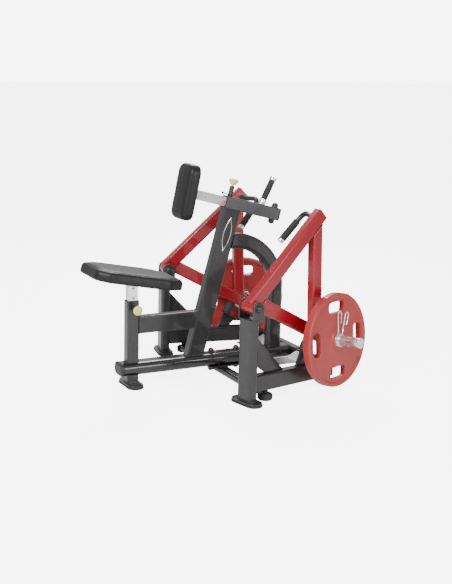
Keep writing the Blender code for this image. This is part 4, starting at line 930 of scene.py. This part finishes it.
def seat_corners(inset):
    """The seat's outline before its corners are rounded."""
    half_length, half_width = SEAT_LENGTH / 2 - inset, SEAT_WIDTH / 2 - inset
    right = [(-half_length, half_width - 0.045), (-half_length + 0.055, half_width)]
    right += [(half_length - 0.085, half_width), (half_length, half_width - 0.050)]
    return [(a, -b) for a, b in right] + right[::-1]


def seat_outline(inset, steps=10):
    return polygon(seat_corners(inset), 0.030, steps)(0)


def fixings(name, places, inward, body):
    """Socket-head screws with washers, their heads facing away from inward."""
    line = [(0.0002, 0.0), (0.0030, 0.0), (0.0030, -0.003), (0.0058, -0.004), (0.0062, -0.0005)]
    line = soft([*line, (0.0095, 0.0), (0.0095, 0.0012)], 0.0004) - [0, 0.0012]
    piece(name, [turned(place, inward, line, 28) for place in places], STEEL, body)


def seat():
    """Chrome stem with its pin holes, the plate on it and the board; the cushion comes later."""
    board_depth = SEAT_PAD + GAP
    plate_depth = board_depth + BOARD + GAP
    cut = (seat_layer(plate_depth + 0.003), TILT_OFF)
    section = rounded(STEM_WIDTH, STEM_DEPTH, 0.004)
    low, high = from_post(0, 0, STEM_BOTTOM), from_post(0, 0, 0.48)
    stem = bar(low, high, Y_AXIS, section, (None, cut), (0.001, 0))
    made = piece("seat_stem_tube", stem, CHROME, "seat", "seat_stem")
    heights = [SEAT_PIN_Z - k * SEAT_HOLE_PITCH for k in range(-2, 4)]
    drill(made, [from_post(0, -STEM_WIDTH / 2 - 0.004, z) for z in heights], Y_AXIS)
    flat = slab(rounded(0.250, 0.110, 0.012), seat_layer(plate_depth), TILT_ALONG, Y_AXIS, -0.006, 0.0, 0.001)
    piece("seat_carrier_plate", flat, STEEL, "seat")
    under = seat_layer(plate_depth + 0.006)
    seam = bead(bar_end(low, high, Y_AXIS, section, (under, TILT_OFF)), 0.0022)
    piece("seat_stem_weld", seam, STEEL, "seat")
    base, plane = seat_layer(board_depth + BOARD) + TILT_ALONG * 0.008, np.stack([TILT_ALONG, Y_AXIS])
    rows = ((0.0268, 0.0), (0.0260, 0.0008), (0.0260, 0.0030))
    board = skin([base + TILT_OFF * h + seat_outline(inset, 8) @ plane for inset, h in rows])
    piece("seat_ply", board, PLY, "seat", "seat_board")
    places = [under + TILT_ALONG * a + Y_AXIS * b for a in (-0.105, 0.105) for b in (-0.038, 0.038)]
    fixings("seat_screws", places, TILT_OFF, "seat")


PAD_OFF = np.array([-math.cos(PAD_LEAN), 0, math.sin(PAD_LEAN)])
PAD_UP = np.array([math.sin(PAD_LEAN), 0, math.cos(PAD_LEAN)])
PAD_ACROSS, PAD_FOOT = np.cross(PAD_UP, PAD_OFF), sleeve_at(-CHEST_OUT)


def pad_place(off):
    return PAD_FOOT + PAD_UP * 0.004 + PAD_OFF * off


def chest():
    """Chrome tube with its pin holes, the welded plate and the board behind the chest pad."""
    section = rounded(CHEST_TUBE, CHEST_TUBE, 0.004)
    start, end = sleeve_at(CHEST_IN), sleeve_at(-0.10)
    tube = bar(start, end, Y_AXIS, section, (None, (PAD_FOOT, PAD_OFF)), (0.001, 0))
    made = piece("chest_slide_tube", tube, CHROME, "chest", "chest_tube")
    above = CHEST_TUBE / 2 + 0.004
    drill(made, [sleeve_at(CHEST_PIN_ALONG + k * 0.025, above) for k in range(-3, 3)], -SLEEVE_OFF)
    drill(made, [sleeve_at(-CHEST_OUT + 0.061, 0.002, -above)], Y_AXIS)
    plate = slab(rounded(0.100, 0.150, 0.012), pad_place(0), PAD_ACROSS, PAD_UP, 0.0, 0.006, 0.001)
    piece("chest_carrier_plate", plate, CHROME, "chest")
    seam = bead(bar_end(start, end, Y_AXIS, section, (PAD_FOOT, PAD_OFF)), 0.0022)
    piece("chest_tube_weld", seam, CHROME, "chest")
    line, plane = rounded(PAD_WIDTH - 0.026, PAD_HEIGHT - 0.026, 0.020), np.stack([Y_AXIS, PAD_UP])
    rows = ((0.0088, 0.0063), (0.0080, 0.0071), (0.0080, 0.0098))
    board = skin([pad_place(h) + line(i) @ plane for i, h in rows])
    piece("chest_ply", board, PLY, "chest", "chest_board")
    places = [pad_place(0.0) + Y_AXIS * a + PAD_UP * b for a in (-0.038, 0.038) for b in (-0.062, 0.062)]
    fixings("chest_screws", places, PAD_OFF, "chest")


def clamp():
    """The small lever that pinches the chest tube in its arm."""
    foot = sleeve_at(CLAMP_ALONG, SLEEVE_OUTER / 2, CLAMP_Y)
    line = [(0.0, -0.004), (0.0035, -0.004), (0.0035, 0.0013), (0.0062, 0.0013), (0.0062, 0.012)]
    line = soft([*line, (0.0042, 0.0145), (0.0, 0.0145)], 0.0008)
    knuckle = foot + SLEEVE_OFF * 0.0066
    tip = knuckle - SLEEVE_ALONG * 0.050 + SLEEVE_OFF * 0.004
    rod = [(0.0, 0.0), (0.0032, 0.0), (0.0028, 0.036), (0.0046, 0.041), (0.0050, 0.047), (0.0, 0.0505)]
    rod = soft(rod, 0.002)
    shells = [turned(foot, SLEEVE_OFF, line[1:-1], 36), turned(knuckle, tip - knuckle, rod[1:-1], 28)]
    piece("clamp_handle", shells, STEEL, "clamp_lever", "clamp_lever")


# ---------------------------------------------------------------- levers, plates and clips
def ring_line(inner, outer, low, high, radius):
    """A closed line of (radius, distance) points, for turning a plain ring with soft edges."""
    return soft([(inner, low), (outer, low), (outer, high), (inner, high)], radius, closed=True)


def lever_tube(side, angle, offset, depth):
    """One lever tube's start, its direction, its upward normal and its section."""
    off = UP * math.cos(angle) - side.rear * math.sin(angle)
    return side.pivot + off * offset, side.along(angle), off, rounded(LEVER_WIDTH, depth, 0.009)


def lever_frame(side, body):
    """The arm with its barrel and sleeve, the link and the upright; hands back their weld beads."""
    word = side.word
    line, along, arm_off, section = lever_tube(side, ARM_ANGLE, ARM_OFFSET, ARM_DEPTH)
    arm_under = (side.pivot + arm_off * (ARM_OFFSET - ARM_DEPTH / 2 - GAP), arm_off)
    arm = bar(line, line + along * ARM_LENGTH, side.out, section, lips=(0.001, 0.003))
    barrel = ring_line(BARREL_BORE, BARREL_RADIUS, -0.0437, 0.0437, 0.0014)
    shells = [arm, turned(side.pivot, side.out, barrel, 64, ring=True)]
    piece("lever_arm_tube_" + word, shells, RED, body, "lever_arm_" + word)
    sleeve = ring_line(BOLT_RADIUS + 0.0002, BARREL_BORE - GAP, -0.0442, 0.0442, 0.0005)
    sleeve = turned(side.pivot, side.out, sleeve, 40, ring=True)
    piece("lever_sleeve_" + word, sleeve, PLASTIC, body, "lever_bush_" + word)

    line, along, link_off, section = lever_tube(side, LINK_ANGLE, LINK_OFFSET, LINK_DEPTH)
    low, high = line + along * 0.05, line + along * LINK_LENGTH
    link = bar(low, high, side.out, section, (arm_under, None), (0, 0.003))
    piece("lever_link_tube_" + word, link, RED, body, "lever_link_" + word)
    loops = [bar_end(high, low, side.out, section, arm_under)]

    link_top = (side.pivot + link_off * (LINK_OFFSET + LINK_DEPTH / 2 + GAP), link_off)
    low, high = side.at(UPRIGHT_U, 0), side.at(UPRIGHT_U - 0.2 * math.tan(UPRIGHT_LEAN), 0.2)
    section = rounded(LEVER_WIDTH, UPRIGHT_DEPTH, 0.009)
    upright = bar(low, high, side.out, section, (link_top, arm_under))
    piece("lever_upright_tube_" + word, upright, RED, body, "lever_upright_" + word)
    loops.append(bar_end(low, high, side.out, section, arm_under))
    loops.append(bar_end(high, low, side.out, section, link_top))
    return [bead(loop) for loop in loops]


def handle(side, body):
    """The bent handle with its ribbed grip and chrome tip; hands back its weld bead."""
    word, sides = side.word, 32
    bend, tip = side.at(*GRIP_BEND), side.at(*GRIP_TIP)
    root_end = side.at(GRIP_BEND[0] - 0.055, GRIP_BEND[1] - 0.012, -LEVER_SKIN)
    path = bent_line([root_end, bend, tip], 0.036, 14)
    points, faces = swept(path, disc(HANDLE_RADIUS, sides), UP, 0.003)
    points[:sides] = slide_to(points[:sides], unit(path[1] - path[0]), (root_end, side.out))
    piece("handle_bar_" + word, (points, faces), STEEL, body, "handle_tube_" + word)
    back = unit(path[-2] - tip)
    length = np.linalg.norm(path[-2] - tip) - 0.018
    grip = ribbed(tip, back, GRIP_RADIUS, HANDLE_RADIUS + GAP, 0.016, length)
    piece("handle_grip_" + word, grip, RUBBER, body, "hand_grip_" + word)
    collar = [(HANDLE_RADIUS + 0.0002, 0.0155), (0.0165, 0.0155), (0.0165, 0.001), (0.0145, -0.0012)]
    collar = soft([*collar, (0.0, -0.0012)], 0.0012)
    piece("handle_tip_" + word, turned(tip, back, collar[:-1], 40), CHROME, body)
    return bead(points[:sides])


def horn(side, body):
    """The chrome plate horn with its flange and the two beads that join them to the link."""
    sides = 64
    foot, out = side.horn()
    skin_point = (side.at(0, 0, LEVER_SKIN - 0.001), side.out)
    line = [(HORN_RADIUS, HORN_FLANGE), (HORN_RADIUS, HORN_TIP), (0.006, HORN_TIP), (0.004, HORN_TIP - 0.003)]
    line = soft([*line, (0.0, HORN_TIP - 0.003)], 0.0025, 5)
    points, faces = turned(foot, out, np.concatenate([[(HORN_RADIUS, -0.10)], line[:-1]]), sides)
    points[:sides] = slide_to(points[:sides], out, skin_point)
    flange = ring_line(HORN_RADIUS, 0.050, HORN_FLANGE - 0.010, HORN_FLANGE, 0.0015)
    shells = [(points, faces), turned(foot, out, flange, sides, ring=True)]
    piece("horn_tube_" + side.word, shells, CHROME, body, "plate_horn_" + side.word)
    behind = foot + out * (HORN_FLANGE - 0.0102)
    circle = behind + disc(HORN_RADIUS + 0.0005, 90)() @ np.stack(across(out, UP))
    beads = [bead(circle), bead(slide_to(circle, out, skin_point))]
    piece("horn_welds_" + side.word, beads, CHROME, body)


def lever(side):
    """One red lever with its handle, grip and plate horn."""
    body = "lever_" + side.word
    beads = [*lever_frame(side, body), handle(side, body)]
    piece("lever_welds_" + side.word, beads, RED, body)
    horn(side, body)


def plate_line(level, hub, inward):
    """One face of the casting's section as (radius, height): bore, hub, dished web and thick rim."""
    bore, rim = HORN_RADIUS + 0.0004, PLATE_RADIUS - 0.006
    line = [(bore, 0.0015), (bore + 0.0015, 0.0), (hub, 0.0), (hub + 0.004, 0.007)]
    line += [(0.203, 0.009), (0.208, 0.001), (rim, 0.001), (PLATE_RADIUS, 0.006)]
    return soft([(radius, level + inward * drop) for radius, drop in line], 0.0035, 5)


FACE_LINE, BACK_LINE = plate_line(PLATE_FACE, 0.046, -1), plate_line(PLATE_BACK, 0.054, 1)
SLOT_RADIUS, BAND_LOW, BAND_HIGH, QUARTER = 0.157, 0.1155, 0.1955, 24


def slot_reach(way, width=0.115, height=0.055, corner=0.020):
    """How far a ray from a slot's middle runs to its rounded-rectangle edge, found by bisection."""
    low, high = np.zeros(len(way)), np.full(len(way), 0.08)
    for _ in range(40):
        mid = (low + high) / 2
        q = np.abs(way * mid[:, None]) - [width / 2 - corner, height / 2 - corner]
        distance = np.hypot(*np.maximum(q, 0).T) + np.minimum(q.max(1), 0) - corner
        low, high = np.where(distance < 0, mid, low), np.where(distance < 0, high, mid)
    return (low + high) / 2


def plate_shell(foot, out):
    """The cast plate: two turned strips joined by four sectors whose grids run through the slots."""
    first, second = across(out, UP)
    sides = 4 * QUARTER
    around = np.linspace(0, 2 * math.pi, sides, endpoint=False) + math.pi / 4
    spoke = np.cos(around)[:, None] * first + np.sin(around)[:, None] * second

    def strip(line):
        rows = foot + line[:, :1, None] * spoke[None] + line[:, 1][:, None, None] * out
        points, faces = skin(rows)
        return points, faces[:-2]

    face_in = FACE_LINE[FACE_LINE[:, 0] < BAND_LOW][::-1]
    back_in = BACK_LINE[BACK_LINE[:, 0] < BAND_LOW]
    face_out, back_out = FACE_LINE[FACE_LINE[:, 0] > BAND_HIGH], BACK_LINE[BACK_LINE[:, 0] > BAND_HIGH][::-1]
    lines = ((FACE_LINE, 1), (BACK_LINE, -1))
    shells = []
    for radius, between in ((BAND_LOW, (*face_in, *back_in)), (BAND_HIGH, (*face_out, *back_out))):
        face, back = [(radius, np.interp(radius, *line.T)) for line, _ in lines]
        shells.append(strip(np.array([face, *between, back])))

    arc = np.linspace(-math.pi / 4, math.pi / 4, QUARTER + 1)
    radial = np.linspace(BAND_LOW, BAND_HIGH, 9)
    ring = [(BAND_HIGH, t) for t in arc] + [(r, math.pi / 4) for r in radial[-2:0:-1]]
    ring += [(BAND_LOW, t) for t in arc[::-1]] + [(r, -math.pi / 4) for r in radial[1:-1]]
    ring = np.array(ring)
    flat = np.stack([ring[:, 0] * np.sin(ring[:, 1]), ring[:, 0] * np.cos(ring[:, 1]) - SLOT_RADIUS], 1)
    distance = np.linalg.norm(flat, axis=1)
    way = flat / distance[:, None]
    reach, lip = slot_reach(way), 0.0022
    for quarter in range(4):
        turn = math.pi / 2 * quarter
        up = first * math.cos(turn) + second * math.sin(turn)
        right = np.cross(out, up)
        rows = []
        for line, sign in lines:
            part = []
            for share in np.linspace(0, 1, 9):
                at = distance * (1 - share) + (reach + lip) * share
                spot = way * at[:, None]
                radius = np.hypot(spot[:, 0], spot[:, 1] + SLOT_RADIUS)
                rim = 0.0016 * np.clip(1 - (at - reach - lip) / 0.006, 0, 1) ** 0.6 * (share > 0)
                part.append((spot, np.interp(radius, *line.T) + sign * rim))
            for t in np.linspace(0, math.pi / 2, 5)[1:]:
                spot = way * (reach + lip - lip * math.sin(t))[:, None]
                part.append((spot, part[8][1] - sign * lip * (1 - math.cos(t))))
            rows += part if sign > 0 else part[::-1]
        middle, plane = foot + up * SLOT_RADIUS, np.stack([right, up])
        points, faces = skin([middle + spot @ plane + height[:, None] * out for spot, height in rows])
        shells.append((points, faces[:-2]))
    return shells


def plate(side):
    """The weight plate and the steel ring in its bore."""
    foot, out = side.horn()
    name = "plate_" + side.word
    piece("disc_" + side.word, plate_shell(foot, out), PLATE, name, "weight_" + name, 50.0)
    line = ring_line(HORN_RADIUS + 0.0005, 0.0305, PLATE_BACK - 0.0002, PLATE_FACE + 0.0008, 0.0005)
    piece("disc_insert_" + side.word, turned(foot, out, line, 64, ring=True), CHROME, name)


def clip(side):
    """The wire collar: two turns round the horn that end in two tall loops."""
    foot, out = side.horn()
    sideways, upward = across(out, UP)
    if upward @ side.rear < 0:
        upward = -upward
    wire, pitch, coil = 0.0028, 0.0064, HORN_RADIUS + 0.0038
    first = PLATE_FACE + wire + 2 * GAP

    def ring_point(turn, along):
        return foot + (sideways * math.cos(turn) + upward * math.sin(turn)) * coil + out * along

    def loop_points(root_turn, along, lean):
        base = ring_point(root_turn, along)
        up = unit(sideways + upward * lean)
        over = across(up, upward)[0]
        turn = np.linspace(0, math.pi, 17)
        bend = [base + up * (0.095 + 0.013 * math.sin(t)) + over * 0.013 * (1 - math.cos(t)) for t in turn]
        leg = [base + up * rise for rise in (0.006, 0.035, 0.065)]
        return [*leg, *bend, base + up * 0.050 + over * 0.022]

    start_turn, turns = math.radians(-12), 2.0 + math.radians(24) / (2 * math.pi)
    parts = np.linspace(0, 1, 97)
    helix = [ring_point(start_turn + 2 * math.pi * turns * t, first + pitch * turns * t) for t in parts]
    near = loop_points(start_turn, first, 0.02)
    far = loop_points(start_turn + 2 * math.pi * turns, first + pitch * turns, 0.30)
    path = near[::-1] + helix[1:-1] + far
    shell = swept(path, disc(wire, 14), out)
    piece("wire_clip_" + side.word, shell, CHROME, "clip_" + side.word, "spring_clip_" + side.word)


for make in (base_and_post, rail_mast_arch, badge, cross_members, chest_slide, centre_grip, front_foot):
    make()
for make in (side_post, side_rail, pivot_yoke, pivot_pin, buffer_and_feet, tread):
    for each in SIDES:
        make(each)
piece("frame_welds", frame_welds, FRAME, "root")
pull_pin("seat_pin", from_post(0, -POST_WIDTH / 2, SEAT_PIN_Z), -Y_AXIS, 0.027)
pull_pin("chest_pin", sleeve_at(CHEST_PIN_ALONG, SLEEVE_OUTER / 2), SLEEVE_OFF, 0.052)
for make in (seat, chest, clamp):
    make()
for make in (lever, plate, clip):
    for each in SIDES:
        make(each)


# ---------------------------------------------------------------- upholstery
def corners_of(mesh):
    """A mesh's vertices as rows of x, y and z."""
    flat = np.empty(len(mesh.vertices) * 3)
    mesh.vertices.foreach_get("co", flat)
    return flat.reshape(-1, 3)


def blow_up(made, origin, normal, cap):
    """Swells a pad as cloth under pressure, with its board side held still.

    The cloth's shift is averaged with its neighbours' shifts many times over, which takes the
    wrinkles out and leaves the crown. Its length then bends off towards a cap as a hyperbolic tangent.
    """
    remesh = made.modifiers.new("remesh", "REMESH")
    remesh.mode, remesh.voxel_size = "VOXEL", 0.005
    fine = bake(made)
    rest = corners_of(fine)
    held = np.where((rest - origin) @ normal < 0.007)[0].tolist()
    made.vertex_groups.new(name="held").add(held, 1.0, "REPLACE")
    cloth = made.modifiers.new("cloth", "CLOTH")
    settings = cloth.settings
    settings.vertex_group_mass = "held"
    settings.use_pressure, settings.uniform_pressure_force = True, 4.0
    settings.effector_weights.gravity = 0.0
    settings.quality = 6
    settings.tension_stiffness = settings.compression_stiffness = 40.0
    settings.bending_stiffness = 8.0
    cloth.point_cache.frame_start, cloth.point_cache.frame_end = 1, 20
    for at in range(1, 21):
        bpy.context.scene.frame_set(at)
    blown = bake(made)
    made.vertex_groups.clear()
    shift = corners_of(blown) - rest
    ends = np.empty(len(fine.edges) * 2, int)
    fine.edges.foreach_get("vertices", ends)
    here, there = ends.reshape(-1, 2).T
    neighbours = np.bincount(ends, minlength=len(rest))[:, None]
    for _ in range(80):
        total = np.zeros_like(shift)
        np.add.at(total, here, shift[there])
        np.add.at(total, there, shift[here])
        shift = (shift + total / neighbours) / 2
        shift[held] = 0.0
    size = np.linalg.norm(shift, axis=1)
    limit = cap * np.tanh(size / cap) / np.maximum(size, 1e-9)
    blown.vertices.foreach_set("co", (rest + shift * limit[:, None]).ravel())
    relax = made.modifiers.new("relax", "SMOOTH")
    relax.factor, relax.iterations = 0.5, 10
    bpy.context.scene.frame_set(1)


def cushion(name, node, body, outline, place, shrink, seam, edge):
    """A stuffed pad: a crowned shell blown up as cloth, then its seam pressed in as a groove.

    Its place is its origin, its plane's two directions and its thickness.
    The groove's depth falls off as a bell curve with the distance, in the pad's plane, between a
    point and the line that runs a set inset inside the outline.
    """
    origin, first, second, thick = place
    normal, plane = np.cross(first, second), np.stack([first, second])
    share = np.linspace(0, math.pi / 2, 7)
    rows = [(shrink + 0.006, 0.0), (shrink + 0.001, 0.003), (shrink, 0.010)]
    top = thick - shrink * 1.3
    rows += [(shrink + edge * (1 - math.cos(t)), top - edge + edge * math.sin(t)) for t in share]
    shell = skin([origin + outline(i) @ plane + normal * h for i, h in rows])
    made = piece(name, shell, VINYL, body, node, 60.0)
    blow_up(made, origin, normal, 0.007)
    finer = made.modifiers.new("finer", "SUBSURF")
    finer.levels = finer.render_levels = 1
    smooth = bake(made)
    points = corners_of(smooth)
    flat, height = (points - origin) @ plane.T, (points - origin) @ normal
    line = outline(seam)
    distance = np.full(len(flat), 1.0)
    for a, b in zip(line, np.roll(line, -1, 0)):
        part = np.clip(((flat - a) @ (b - a)) / ((b - a) @ (b - a)), 0, 1)
        distance = np.minimum(distance, np.linalg.norm(flat - a - part[:, None] * (b - a), axis=1))
    groove = 0.0016 * np.exp(-((distance / 0.0026) ** 2)) * (height > thick * 0.6)
    smooth.vertices.foreach_set("co", (points - groove[:, None] * normal).ravel())
    smooth.shade_smooth()
    smooth.update()


seat_thick, chest_thick = SEAT_PAD + BOARD - 0.0006, PAD_THICK + BOARD - 0.0007
seat_place = (seat_layer(seat_thick) + TILT_ALONG * 0.008, TILT_ALONG, Y_AXIS, seat_thick)
chest_place = (pad_place(0.007), PAD_ACROSS, PAD_UP, chest_thick)
chest_line = rounded(PAD_WIDTH, PAD_HEIGHT, 0.042, 10)
cushion("seat_pad", "seat_cushion", "seat", seat_outline, seat_place, 0.005, 0.022, 0.014)
cushion("chest_cushion", "chest_pad", "chest", chest_line, chest_place, 0.001, 0.020, 0.020)


# ---------------------------------------------------------------- floor, light and camera
def lit_for_camera(tree, seen, cast, mirrored):
    """A strength of seen straight at the camera, cast for plain light and mirrored in shiny parts."""
    path = add_node(tree, "LightPath").outputs
    straight = spread(tree, path["Is Camera Ray"], 0.0, 1.0, cast, seen)
    shine = spread(tree, path["Is Glossy Ray"], 0.0, 1.0, 0.0, mirrored - cast)
    return add_node(tree, "Math", {0: straight, 1: shine}, operation="ADD").outputs[0]


def studio():
    """A pale floor, a white surround and three large soft lights."""
    mesh = bpy.data.meshes.new("studio_floor")
    reach = 30.0
    corners = [(-reach, -reach, 0), (reach, -reach, 0), (reach, reach, 0), (-reach, reach, 0)]
    mesh.from_pydata(corners, [], [[0, 1, 2, 3]])
    pale = bpy.data.materials.new("studio_floor")
    pale.use_nodes = True
    tree = pale.node_tree
    shader = tree.nodes["Principled BSDF"]
    shader.inputs["Base Color"].default_value = (0.90, 0.90, 0.90, 1)
    shader.inputs["Roughness"].default_value = 0.6
    shader.inputs["Emission Color"].default_value = (1, 1, 1, 1)
    tree.links.new(lit_for_camera(tree, 5.5, 0.0, 0.3), shader.inputs["Emission Strength"])
    mesh.materials.append(pale)
    floor = bpy.data.objects.new("studio_floor", mesh)
    bpy.context.scene.collection.objects.link(floor)
    world = bpy.data.worlds.new("studio")
    world.use_nodes = True
    background = world.node_tree.nodes["Background"]
    background.inputs["Color"].default_value = (1, 1, 1, 1)
    world.node_tree.links.new(lit_for_camera(world.node_tree, 7.0, 0.24, 0.7), background.inputs["Strength"])
    bpy.context.scene.world = world
    lights = (
        ("key", (-3.0, -2.4, 3.2), 230, 1.4),
        ("fill", (1.4, -4.2, 1.6), 70, 1.6),
        ("rim", (1.2, 2.6, 3.2), 120, 1.4),
    )
    for name, place, power, size in lights:
        light = bpy.data.lights.new(name, "AREA")
        light.energy, light.size = power, size
        lamp = bpy.data.objects.new(name, light)
        lamp.location = place
        way = np.array([0, 0, 0.45]) - place
        lamp.rotation_euler = look_rotation(way, UP).to_euler()
        bpy.context.scene.collection.objects.link(lamp)


def look_rotation(forward, up):
    """The rotation whose -Z looks forward with +Y as near up as it can be."""
    up, right = across(forward, np.asarray(up, float))
    right = np.cross(unit(forward), up)
    return Matrix(np.stack([right, up, -unit(forward)], 1).tolist())


def camera():
    data = bpy.data.cameras.new("main")
    data.lens, data.sensor_width = 70.07, 36.0
    made = bpy.data.objects.new("main", data)
    made.location = (-2.4692, -4.8458, 1.6708)
    forward, up = np.array([0.45466, 0.86239, -0.22263]), np.array([0.08071, 0.20903, 0.97457])
    made.rotation_euler = look_rotation(forward, up).to_euler()
    bpy.context.scene.collection.objects.link(made)
    bpy.context.scene.camera = made


studio()
camera()
